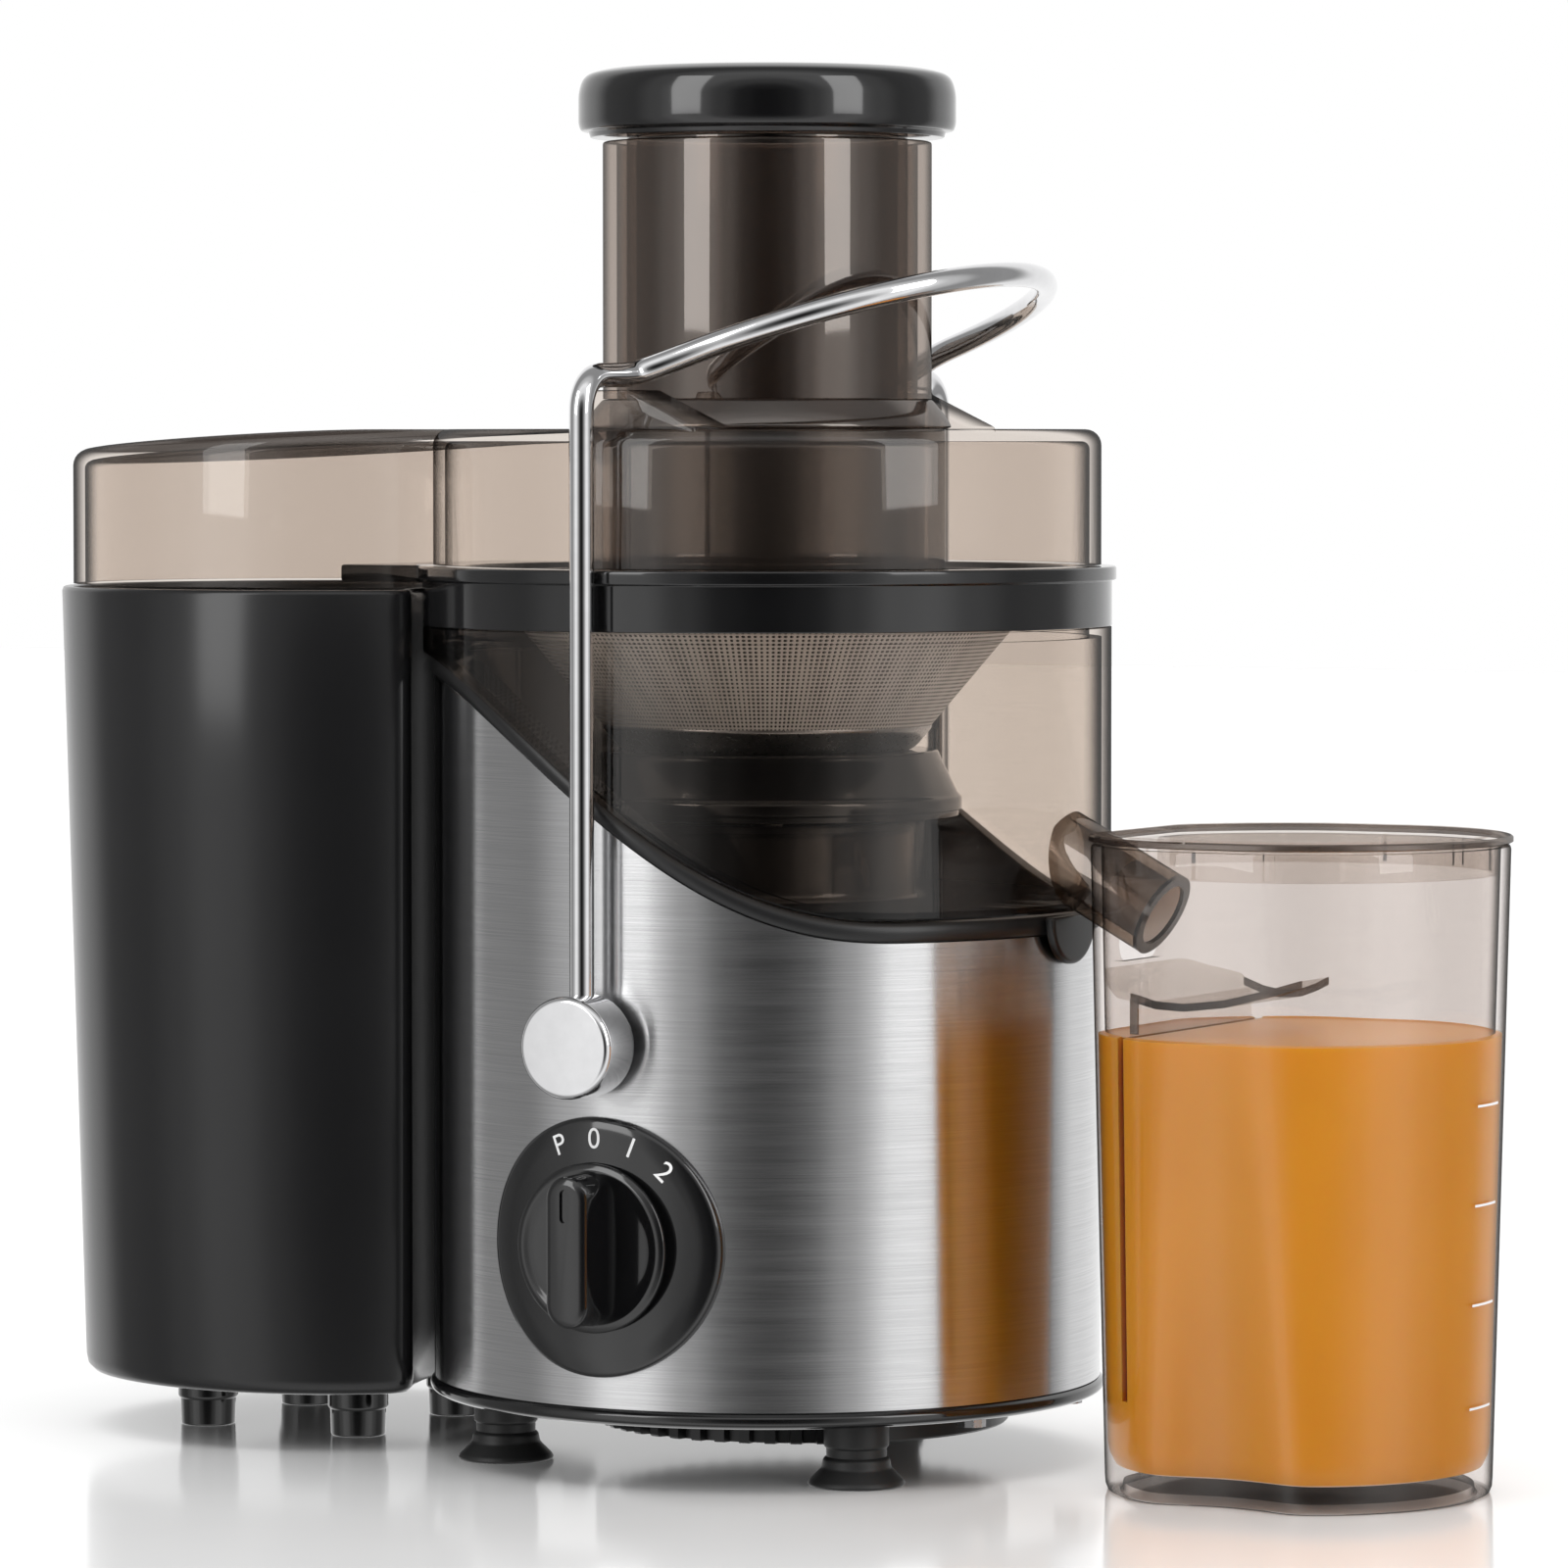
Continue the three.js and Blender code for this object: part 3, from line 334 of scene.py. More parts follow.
def node(mat, kind, inputs=(), **values):
    """Adds a shader node; each value goes to the input or else to the setting of that name."""
    made = mat.node_tree.nodes.new("ShaderNode" + kind)
    for key, value in {**dict(inputs), **values}.items():
        if key in made.inputs:
            made.inputs[key].default_value = value
        else:
            setattr(made, key, value)
    return made


def link(mat, output, socket):
    mat.node_tree.links.new(output, socket)


def noise(mat, scale, detail=3.0, stretch=(1, 1, 1), coords="Object"):
    """Noise in the object's own metres, stretched by the given factors."""
    place_node = node(mat, "TexCoord")
    mapping = node(mat, "Mapping", Scale=stretch)
    link(mat, place_node.outputs[coords], mapping.inputs["Vector"])
    made = node(mat, "TexNoise", Scale=scale, Detail=detail)
    link(mat, mapping.outputs[0], made.inputs["Vector"])
    return made.outputs["Fac"]


def span(mat, value, low, high):
    """Stretches a value of 0 to 1 over another range."""
    made = node(mat, "MapRange", {"To Min": low, "To Max": high})
    link(mat, value, made.inputs["Value"])
    return made.outputs["Result"]


def mix(mat, factor, a, b):
    made = node(mat, "Mix", data_type="RGBA")
    link(mat, factor, made.inputs["Factor"])
    made.inputs["A"].default_value = (*a, 1)
    made.inputs["B"].default_value = (*b, 1)
    return made.outputs["Result"]


def relief(mat, height, distance, strength=1.0):
    """Bump of the given depth in metres."""
    made = node(mat, "Bump", Strength=strength, Distance=distance)
    link(mat, height, made.inputs["Height"])
    link(mat, made.outputs["Normal"], mat.node_tree.nodes["Principled BSDF"].inputs["Normal"])


def moulded(name, color, low, high, grain=0.000012, grain_scale=2600.0, shade=1.35, ior=1.5):
    """Moulded plastic: fine grain, slow changes of gloss, and a faint change of colour."""
    mat = material(name, color, (low + high) / 2)
    shader = mat.node_tree.nodes["Principled BSDF"]
    shader.inputs["IOR"].default_value = ior
    slow = noise(mat, scale=22.0, detail=4.0)
    link(mat, span(mat, slow, low, high), shader.inputs["Roughness"])
    lighter = tuple(min(1.0, c * shade) for c in color)
    link(mat, mix(mat, slow, color, lighter), shader.inputs["Base Color"])
    relief(mat, noise(mat, grain_scale, detail=2.0), distance=grain, strength=0.5)
    return mat


def brushed_steel():
    """Stainless sheet brushed round the drum: thin level scratches that stretch the highlights."""
    mat = material("steel_brushed", (0.60, 0.60, 0.61), roughness=0.30, metallic=1.0)
    shader = mat.node_tree.nodes["Principled BSDF"]
    scratches = noise(mat, scale=5.0, detail=6.0, stretch=(7, 7, 900))
    patches = noise(mat, scale=6.0, detail=3.0, stretch=(4, 4, 60))
    valley, crest = (0.47, 0.47, 0.475), (0.76, 0.76, 0.765)
    link(mat, mix(mat, scratches, valley, crest), shader.inputs["Base Color"])
    link(mat, span(mat, patches, low=0.16, high=0.25), shader.inputs["Roughness"])
    shader.inputs["Anisotropic"].default_value = 0.9
    shader.inputs["Anisotropic Rotation"].default_value = 0.25
    tangent = node(mat, "Tangent", direction_type="RADIAL", axis="Z")
    link(mat, tangent.outputs[0], shader.inputs["Tangent"])
    relief(mat, scratches, distance=0.00003, strength=0.35)
    return mat


def plain_metal(name, color, low, high, streak=(40, 40, 40)):
    """Smooth metal with slight wear in its gloss and colour."""
    mat = material(name, color, (low + high) / 2, 1.0)
    shader = mat.node_tree.nodes["Principled BSDF"]
    wear = noise(mat, scale=30.0, detail=4.0, stretch=streak)
    link(mat, span(mat, wear, low, high), shader.inputs["Roughness"])
    link(mat, mix(mat, wear, tuple(c * 0.86 for c in color), color), shader.inputs["Base Color"])
    relief(mat, wear, distance=0.000004, strength=0.2)
    return mat


def strainer_sheet():
    """Photo-etched steel: rows of small holes, set out round the cone. Each hole is painted dark as painted
    shade for what is seen through it, and is only partly see-through.
    """
    mat = material("strainer_sheet", (0.70, 0.68, 0.65), roughness=0.5, metallic=0.3)
    tree = mat.node_tree
    shader = tree.nodes["Principled BSDF"]
    uv = node(mat, "UVMap", uv_map="UVMap")
    holes_round, holes_per_metre = 260, 780
    mapping = node(mat, "Mapping", Scale=(holes_round, holes_per_metre, 1))
    link(mat, uv.outputs[0], mapping.inputs["Vector"])
    holes = node(mat, "TexVoronoi", feature="F1", Scale=1.0, Randomness=0.0)
    holes.voronoi_dimensions = "2D"
    link(mat, mapping.outputs[0], holes.inputs["Vector"])
    edge = node(mat, "MapRange", {"From Min": 0.26, "From Max": 0.34})
    link(mat, holes.outputs["Distance"], edge.inputs["Value"])
    # hole is painted shade: the dark seen through an open hole, not a colour of the steel.
    hole, sheet = (0.16, 0.155, 0.15), (0.88, 0.865, 0.85)
    link(mat, mix(mat, edge.outputs[0], hole, sheet), shader.inputs["Base Color"])
    relief(mat, edge.outputs[0], distance=0.0002, strength=0.8)
    clear = node(mat, "BsdfTransparent")
    both = node(mat, "MixShader")
    link(mat, span(mat, edge.outputs[0], low=0.55, high=1.0), both.inputs["Fac"])
    link(mat, clear.outputs[0], both.inputs[1])
    link(mat, shader.outputs[0], both.inputs[2])
    link(mat, both.outputs[0], tree.nodes["Material Output"].inputs["Surface"])
    return mat


def smoky(name, through, edge, body, haze, shine=0.04, gloss=0.03, sheen=(0.9, 0.9, 0.9)):
    """Clear tinted plastic: a tint that deepens where the wall is seen edge on, under mirror gloss."""
    rim_from, rim_to, mirror_power, mirror_at_edge = 0.66, 0.93, 5.0, 0.09
    mat = material(name, body, roughness=0.25)
    tree = mat.node_tree
    shader = tree.nodes["Principled BSDF"]
    slow = noise(mat, scale=14.0, detail=3.0)
    link(mat, span(mat, slow, gloss, gloss * 2.2), shader.inputs["Roughness"])
    link(mat, mix(mat, slow, body, tuple(c * 1.2 for c in body)), shader.inputs["Base Color"])
    facing = node(mat, "LayerWeight", Blend=0.5)
    rim = node(
        mat, "MapRange", {"From Min": rim_from, "From Max": rim_to},
        interpolation_type="SMOOTHSTEP",
    )
    link(mat, facing.outputs["Facing"], rim.inputs["Value"])
    clear = node(mat, "BsdfTransparent")
    link(mat, mix(mat, rim.outputs["Result"], through, edge), clear.inputs["Color"])
    solid = node(mat, "MixShader", Fac=haze)
    link(mat, clear.outputs[0], solid.inputs[1])
    link(mat, shader.outputs[0], solid.inputs[2])
    mirror = node(mat, "BsdfGlossy", Color=(*sheen, 1), Roughness=gloss)
    grazing = node(mat, "Math", operation="POWER")
    grazing.inputs[1].default_value = mirror_power
    link(mat, facing.outputs["Facing"], grazing.inputs[0])
    final = node(mat, "MixShader")
    link(mat, span(mat, grazing.outputs[0], shine, max(shine, mirror_at_edge)), final.inputs["Fac"])
    link(mat, solid.outputs[0], final.inputs[1])
    link(mat, mirror.outputs[0], final.inputs[2])
    link(mat, final.outputs[0], tree.nodes["Material Output"].inputs["Surface"])
    return mat


def juice_material():
    """Cloudy orange juice, a little lighter and redder in drifts."""
    mat = material("juice_orange", (0.85, 0.36, 0.03), roughness=0.28)
    shader = mat.node_tree.nodes["Principled BSDF"]
    drift = noise(mat, scale=26.0, detail=4.0, stretch=(1, 1, 0.5))
    link(mat, mix(mat, drift, (0.64, 0.235, 0.004), (0.84, 0.36, 0.012)), shader.inputs["Base Color"])
    shader.inputs["Subsurface Weight"].default_value = 0.35
    shader.inputs["Subsurface Radius"].default_value = (0.02, 0.008, 0.002)
    shader.inputs["Subsurface Scale"].default_value = 0.6
    relief(mat, noise(mat, scale=900.0, detail=2.0), distance=0.00002, strength=0.4)
    return mat


WARM = (0.93, 0.85, 0.79)  # the mirror tone of the dark smoky pieces
SMOKE = (0.05, 0.04, 0.035)  # what the clear walls let through seen edge on

# Moulded and metal finishes: name, colour, lowest and highest roughness, grain.
# Smoky finishes: name, tint through, tint seen edge on, body colour, haze.
MATERIALS = {
    "satin": moulded("black_satin", (0.009, 0.009, 0.0094), 0.30, 0.40, 0.000004, 1500.0),
    "gloss": moulded("black_gloss", (0.004, 0.004, 0.0043), 0.06, 0.10, 0.0000004, 900.0, ior=1.7),
    "bin": moulded("black_bin", (0.010, 0.010, 0.0105), 0.16, 0.22, 0.000006),
    "rubber": moulded("black_rubber", (0.014, 0.014, 0.014), 0.42, 0.56, 0.00003, 1500.0),
    "steel": brushed_steel(),
    "metal": plain_metal("steel_plain", (0.55, 0.55, 0.56), 0.22, 0.36),
    "chrome": plain_metal("chrome_polished", (0.88, 0.88, 0.89), 0.03, 0.08, (8, 8, 8)),
    "copper": plain_metal("copper_wire", (0.55, 0.26, 0.13), 0.3, 0.45),
    "mesh": strainer_sheet(),
    "lid": smoky("smoky_lid", (0.885, 0.845, 0.81), SMOKE, (0.30, 0.26, 0.23), 0.012),
    "chute": smoky(
        "smoky_chute", (0.62, 0.57, 0.535), (0.04, 0.032, 0.028),
        (0.08, 0.068, 0.06), 0.08, shine=0.11, sheen=WARM,
    ),
    "throat": smoky(
        "smoky_throat", (0.50, 0.45, 0.42), (0.03, 0.025, 0.02),
        (0.06, 0.05, 0.045), 0.25, shine=0.14, sheen=WARM,
    ),
    "bowl": smoky("smoky_bowl", (0.875, 0.835, 0.80), SMOKE, (0.25, 0.215, 0.19), 0.004),
    "spout": smoky(
        "smoky_spout", (0.52, 0.46, 0.41), (0.03, 0.024, 0.02), (0.10, 0.085, 0.075),
        0.05, shine=0.12, sheen=WARM,
    ),
    # Painted light: the pale sleeve inside the spout's mouth.
    "mouth_light": smoky("smoky_painted_light", (0.96, 0.94, 0.92), (0.80, 0.76, 0.72), (0.92, 0.87, 0.83), 0.85),
    "jug": smoky("smoky_jug", (0.905, 0.88, 0.865), (0.10, 0.085, 0.075), (0.40, 0.36, 0.33), 0.012),
    "cover": smoky("smoky_cover", (0.93, 0.905, 0.885), (0.80, 0.77, 0.745), (0.40, 0.36, 0.33), 0.02),
    "juice": juice_material(),
    "white": moulded("white_print", (0.78, 0.78, 0.78), 0.4, 0.5),
}


def finish_piece(obj, body, finish, slot, *nodes):
    """Gives a piece its finish and its body, and hides the CAD nodes that it stands for. Its slot is not
    used.
    """
    obj.data.materials.clear()
    obj.data.materials.append(MATERIALS[finish])
    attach(obj, body)
    if nodes:
        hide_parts(*nodes)
    return obj


# ---- motor base
def sweep_edge(angle):
    """Height of the base's top edge at an angle in degrees from +X."""
    turn = abs((angle + 540) % 360 - 180)
    t = min(1.0, max(0.0, (turn - SWEEP["from"]) / (SWEEP["to"] - SWEEP["from"])))
    return SWEEP["low"] + (SWEEP["high"] - SWEEP["low"]) * t**3 * (t * (6 * t - 15) + 10)


def above(lift):
    """The height of the top edge and some more, as a function of the angle."""
    return lambda angle: sweep_edge(angle) + lift


def make_base():
    """The housing with its trim bead, the deck and boss inside, the steel wrap and the base plate."""
    foot = PLATE_TOP + 0.3

    def skin_r(angle):
        """The housing's outer radius, which steps in behind the wrap."""
        under = abs((angle + 540) % 360 - 180) < WRAP_HALF_ANGLE + 0.5
        return WRAP_R - (1.1 if under else 0.0)

    lip = SWEEP["trim"]
    shell = swept(
        "base_housing",
        [
            (WALL_R, foot), (skin_r, foot), (skin_r, above(-0.1)), (WRAP_R + 0.3, above(0.0)),
            (WRAP_R + 0.75, above(0.7)), (WRAP_R + 0.85, above(lip * 0.5)),
            (WRAP_R + 0.6, above(lip - 1.0)),
            (WRAP_R - 0.1, above(lip - 0.2)), (WRAP_R - 1.2, above(lip)), (WALL_R + 0.4, above(lip)),
            (WALL_R, above(lip - 0.5)),
        ],
        step=1.5,
    )
    finish_piece(shell, "base", "satin", "black_plastic", "motor_housing")
    deck = turned(
        "base_deck",
        [
            (0, DECK_TOP - 3), (WALL_R - 0.3, DECK_TOP - 3), (WALL_R - 0.3, DECK_TOP),
            (BOSS_R + 2, DECK_TOP, 2), (BOSS_R, DECK_TOP + 4, 2), (BOSS_R, BOSS_TOP, 2), (0, BOSS_TOP),
        ],
    )
    finish_piece(deck, "base", "satin", "black_plastic")
    back, front, r = 84.6, 87.0, 12
    rest = turned("spout_rest", [(0, back), (r, back), (r, front, 1.2), (0, front)], steps=64)
    place(rest, turned_by(90, "Y", z=DECK_TOP))
    carve(rest, box("above_rest", (80, -20, DECK_TOP), (92, 20, 160)))
    finish_piece(bevel(rest, 0.5), "base", "satin", "black_plastic")
    wrap = swept(
        "steel_skin",
        [
            (WRAP_R - 0.8, WRAP_FOOT), (WRAP_R - 0.25, WRAP_FOOT), (WRAP_R, WRAP_FOOT + 0.3),
            (WRAP_R, above(-0.5)), (WRAP_R - 0.3, above(-0.2)), (WRAP_R - 0.8, above(-0.2)),
        ],
        -WRAP_HALF_ANGLE, WRAP_HALF_ANGLE, 1.0,
    )
    finish_piece(wrap, "base", "steel", "brushed_steel", "steel_wrap")
    rim_r = cad("base_plate")[1].y
    plate = turned(
        "base_rim",
        [
            (20, PLATE_FOOT), (rim_r - 1.6, PLATE_FOOT, 1.5), (rim_r + 0.4, PLATE_FOOT + 1.2, 0.8),
            (rim_r + 0.4, PLATE_TOP - 0.3, 0.5), (rim_r - 0.6, PLATE_TOP + 0.5), (20, PLATE_TOP),
        ],
        closed=True,
    )
    finish_piece(plate, "base", "gloss", "black_plastic", "base_plate")


def make_vent_ring():
    """The toothed air inlet under the base, plain on its +X side."""
    low, high = cad("vent_ring")
    middle, outer = (low.x + high.x) / 2, (high.x - low.x) / 2
    root, inner = outer - 2.6, outer - 6
    teeth, plain_half_angle, tooth_share, flank = 50, 42, 0.5, 0.08
    rows = []
    for z, inset in ((low.z, 0.5), (low.z + 0.5, 0.0), (high.z, 0.0)):
        row = []
        for k in range(teeth):
            plain = abs((360 * (k + 0.5) / teeth + 180) % 360 - 180) < plain_half_angle
            slot = outer - inset if plain else root
            corners = (0.0, flank, tooth_share, tooth_share + flank)
            for part, r in zip(corners, (slot, outer - inset, outer - inset, slot)):
                a = tau * (k + part) / teeth
                row.append((r * cos(a), r * sin(a), z))
        rows.append(row)
    ring = loft("vent_teeth", rows, sharp=20)
    carve(ring, turned("vent_core", [(0, 5), (inner, 5), (inner, 20), (0, 20)]))
    shift(ring, middle, 0)
    finish_piece(ring, "base", "satin", "black_plastic", "vent_ring")


def make_feet():
    for k, name in enumerate(sorted(n for n in frame["nodes"] if n.startswith("suction_foot")), 1):
        low, high = cad(name)
        r = (high.x - low.x) / 2
        foot = turned(
            f"sucker_{k}",
            [
                (0, 0.8), (r - 3, 0.2), (r - 0.6, 0, 0.3), (r, 0.5, 0.3), (r - 0.4, 1.4, 0.6),
                (r - 3.4, 4.4, 1.5), (8.4, 5.4, 0.6), (8.2, 6.6, 0.5), (7.4, 7.2), (7.4, 9.2),
                (8.0, 9.8, 0.4), (8.0, high.z), (0, high.z),
            ],
            steps=72,
        )
        shift(foot, (low.x + high.x) / 2, (low.y + high.y) / 2)
        finish_piece(foot, "base", "rubber", "rubber", name)


def make_dial():
    """The curved dial plate and its marks."""
    rows = []
    rim = (
        (0.0, DIAL_FACE), (26.0, DIAL_FACE), (30.4, DIAL_FACE), (31.2, DIAL_FACE - 0.25),
        (31.65, DIAL_FACE - 0.8), (DIAL_R, DIAL_FACE - 1.6), (DIAL_R, DIAL_BACK), (0.0, DIAL_BACK),
    )
    for r, face in rim:
        row = []
        for k in range(96):
            a = tau * k / 96
            x = r * cos(a)
            row.append((x, -sqrt(face**2 - x**2), DIAL_Z + r * sin(a)))
        rows.append(row)
    plate = skin("dial_disc", rows, loop_cols=True)
    finish_piece(plate, "base", "gloss", "gloss_black", "dial_plate")
    face = DIAL_FACE + DIAL_MARKS["proud"]
    for text, angle in DIAL_MARKS["angles"]:
        curve = bpy.data.curves.new(f"mark_{text}", "FONT")
        curve.body, curve.size, curve.align_x, curve.align_y = text, DIAL_MARKS["size"], "CENTER", "CENTER"
        mesh = curve_mesh(curve)
        turn = Matrix.Rotation(radians(-angle), 2)
        for vertex in mesh.vertices:
            flat = turn @ Vector((vertex.co.x, vertex.co.y + DIAL_MARKS["r"]))
            vertex.co = Vector((flat.x, -sqrt(face**2 - flat.x**2), DIAL_Z + flat.y)) * MM
        finish_piece(add_object(f"dial_mark_{text}", mesh), "base", "white", "gloss_black")


def stadium(half_width, half_height, y, parts=14):
    """An upright round-ended outline facing -Y."""
    straight = half_height - half_width
    row = []
    for end in (1, -1):
        for k in range(parts + 1):
            a = pi * k / parts
            up = straight + half_width * sin(a)
            row.append((end * half_width * cos(a), y, DIAL_Z + end * up))
    return row


def make_knob():
    """The knob's disc and its upright grip with a marker slot."""
    disc_r = cad("speed_knob")[1].x
    back = -KNOB_BACK
    face = turned(
        "knob_face",
        [
            (0, back), (disc_r - 0.4, back), (disc_r, back + 0.4, 0.3), (disc_r, back + 1.5, 0.7),
            (disc_r - 1.6, back + 2.2, 0.7), (disc_r - 4, back + 1.6, 1.5),
            (8, back + 1.2), (0, back + 1.2),
        ],
        steps=128,
    )
    place(face, turned_by(90, "X", z=DIAL_Z))
    finish_piece(face, "knob", "gloss", "gloss_black", "speed_knob")
    # Half width, half height and y of the grip's outlines, from the disc outwards.
    sizes = (
        (6.6, 19.3, KNOB_BACK - 0.9), (6.1, 18.9, KNOB_BACK - 2.2), (5.75, 18.55, KNOB_BACK - 4.0),
        (5.6, 18.4, KNOB_FRONT + 1.5), (5.35, 18.15, KNOB_FRONT + 0.7), (4.7, 17.5, KNOB_FRONT + 0.2),
        (3.6, 16.4, KNOB_FRONT),
    )
    grip = loft("knob_grip", [stadium(*size) for size in sizes], sharp=50)
    ends = (KNOB_FRONT - 1, KNOB_FRONT + GRIP_SLOT["deep"])
    slot = loft(
        "slot_tool", [stadium(GRIP_SLOT["half_width"], GRIP_SLOT["half_height"], y) for y in ends],
    )
    shift(slot, 0, 0, GRIP_SLOT["up"])
    carve(grip, slot)
    finish_piece(grip, "knob", "gloss", "gloss_black")


def make_gland():
    low, high = cad("cord_gland")
    z = (low.z + high.z) / 2
    gland = turned(
        "cord_inlet",
        [
            (0, 84.2), (10, 84.2), (10, 85.4, 0.8), (7.4, 86.0, 0.5), (6.4, 92, 0.8), (3.7, 92, 0.4),
            (3.7, 86), (0, 86),
        ],
        steps=64,
    )
    place(gland, turned_by(-90, "X", z=z))
    finish_piece(gland, "base", "rubber", "rubber", "cord_gland")


# ---- bowl and strainer
def spout_bar(name, radius, start, end):
    """A round bar on the spout's axis between two distances from the motor's axis."""
    slope = radians(SPOUT["slope"])
    length = (end - start) / cos(slope)
    bar = turned(name, [(0, -length), (radius, -length), (radius, 0), (0, 0)], steps=64)
    drop = (end - SPOUT["mouth"]) * tan(slope)
    return place(bar, turned_by(90 + SPOUT["slope"], "Y", end, 0, SPOUT["z"] - drop))


def spout_ring(name, radius, bore, back, front):
    """A ring round the spout's axis, from one distance behind the mouth to another."""
    profile = [(bore, -back), (radius, -back), (radius, -front), (bore, -front)]
    ring = turned(name, profile, closed=True, steps=64)
    return place(ring, turned_by(90 + SPOUT["slope"], "Y", SPOUT["mouth"], 0, SPOUT["z"]))


def make_bowl():
    """The bowl's wall, which stands on the base's sloping edge, its floor and its spout, with a black ring
    on the spout's mouth as painted shade and a pale sleeve inside it as painted light.
    """
    ledge = SWEEP["trim"] + 0.6
    inner = CUP_R - BOWL_WALL
    walls = swept(
        "bowl_body",
        [
            (inner, BOWL_FLOOR), (CUP_R, BOWL_FLOOR), (CUP_R, above(ledge)),
            (BOWL_R - 0.4, above(ledge)),
            (BOWL_R, above(ledge + 0.4)), (BOWL_R, BOWL_WALL_TOP), (BOWL_RIM_R, BOWL_WALL_TOP),
            (BOWL_RIM_R, BOWL_RIM_TOP), (BOWL_RIM_R - BOWL_WALL, BOWL_RIM_TOP),
            (BOWL_RIM_R - BOWL_WALL, BOWL_WALL_TOP - BOWL_WALL),
            (BOWL_R - BOWL_WALL, BOWL_WALL_TOP - BOWL_WALL), (BOWL_R - BOWL_WALL, above(ledge + 1.8)),
            (inner, above(ledge + 1.8)),
        ],
        step=2.0,
    )
    rim, floor_top = CUP_R - 1.2, BOWL_FLOOR + BOWL_WALL
    floor = turned(
        "bowl_floor",
        [
            (37.5, BOWL_FLOOR), (rim, BOWL_FLOOR), (rim, floor_top), (41, floor_top, 1),
            (39.7, BOWL_FLOOR + 4, 1), (39.7, 160, 0.8), (37.5, 160),
        ],
        closed=True,
        steps=180,
    )
    outer, bore, root, mouth = SPOUT["outer"], SPOUT["bore"], SPOUT["root"], SPOUT["mouth"]
    spout = spout_bar("bowl_spout", outer, root, mouth)
    carve(spout, turned("spout_trim", [(0, 100), (BOWL_R - 1, 100), (BOWL_R - 1, 220), (0, 220)]))
    carve(spout, spout_bar("spout_bore", bore, root - 8, mouth + 2))
    bevel(spout, 0.5)
    finish_piece(spout, "base", "spout", "smoky_plastic")
    # Painted shade: a black ring over the spout's end face, where the clear tube's end looks dark.
    lip = spout_ring("spout_mouth_shade_ring", outer + 0.1, bore - 0.1, 1.0, -0.1)
    finish_piece(lip, "base", "gloss", "smoky_plastic")
    # Painted light: a pale sleeve just inside the mouth that stands in for the light seen in the spout's
    # bore.
    mouth_light = spout_ring("spout_mouth_light_sleeve", bore - 0.1, bore - 0.3, 13.0, 1.0)
    finish_piece(mouth_light, "base", "mouth_light", "smoky_plastic")
    fuse(walls, floor)
    carve(walls, spout_bar("wall_bore", bore, root - 8, mouth + 2))
    finish_piece(walls, "base", "bowl", "smoky_plastic", "juice_bowl")


def make_collar():
    """The black band on the bowl's rim and the tongue that carries pulp over to the bin."""
    band_r, inner, lip_r, lip_foot = BOWL_R + 0.1, 83.8, 76, 221.3
    collar = turned(
        "collar_band",
        [
            (inner, COLLAR_FOOT), (band_r, COLLAR_FOOT, 0.4), (band_r, COLLAR_TOP - 3.6, 0.3),
            (FLANGE_R, COLLAR_TOP - 3.4, 0.4), (FLANGE_R, COLLAR_TOP, 0.7), (lip_r, COLLAR_TOP, 0.5),
            (lip_r, lip_foot), (inner, lip_foot),
        ],
        closed=True,
    )
    shelf = box("tongue", (-103, -38, 219.5), (-64, 38, COLLAR_TOP))
    carve(shelf, turned("tongue_cut", [(0, 210), (85, 210), (85, 230), (0, 230)]))
    bevel(shelf, 0.8)
    fuse(collar, shelf)
    finish_piece(collar, "base", "gloss", "gloss_black", "bowl_collar")


def make_strainer():
    """The mesh cone between its foot ring and its rim, on the black carrier."""
    low, high = cad("strainer_mesh")
    foot_r, top_r = 41.0, high.x
    cone = turned(
        "strainer_cone",
        [(foot_r - SHEET, low.z), (foot_r, low.z), (top_r, high.z), (top_r - SHEET, high.z)],
        closed=True,
        steps=220,
    )
    finish_piece(cone, "rotor", "mesh", "strainer_mesh", "strainer_mesh")
    low, high = cad("strainer_foot_ring")
    ring = turned(
        "strainer_foot",
        [
            (30, low.z), (36.6, low.z, 0.4), (38.2, low.z + 1.4),
            (41.4, high.z, 0.5), (41.4, high.z + 1.2, 0.5),
            (40.2, high.z + 1.2), (39.6, high.z - 0.2), (30, high.z - 0.2),
        ],
        closed=True,
    )
    finish_piece(ring, "rotor", "metal", "plain_steel", "strainer_foot_ring")
    low, high = cad("strainer_rim")
    rim = turned(
        "strainer_edge",
        [(67.4, low.z), (70, low.z), (high.x, low.z + 2.5, 0.8), (high.x, high.z, 0.8), (67.4, high.z, 0.8)],
        closed=True,
    )
    finish_piece(rim, "rotor", "gloss", "gloss_black", "strainer_rim")
    low, high = cad("strainer_hub")
    r, shaft = high.x, 4.3
    hub = turned(
        "strainer_carrier",
        [
            (shaft, high.z), (43, high.z, 0.8), (43.6, high.z - 1.6, 0.6), (r - 1, low.z + 5.6, 1.0),
            (r, low.z + 4.8, 0.8), (r, low.z + 1.8, 0.4), (r - 0.8, low.z + 1.4), (r - 0.8, low.z, 0.3),
            (r - 3, low.z), (r - 3, low.z + 4), (41, high.z - 3), (shaft, high.z - 3),
        ],
        closed=True,
    )
    finish_piece(hub, "rotor", "gloss", "black_plastic", "strainer_hub")


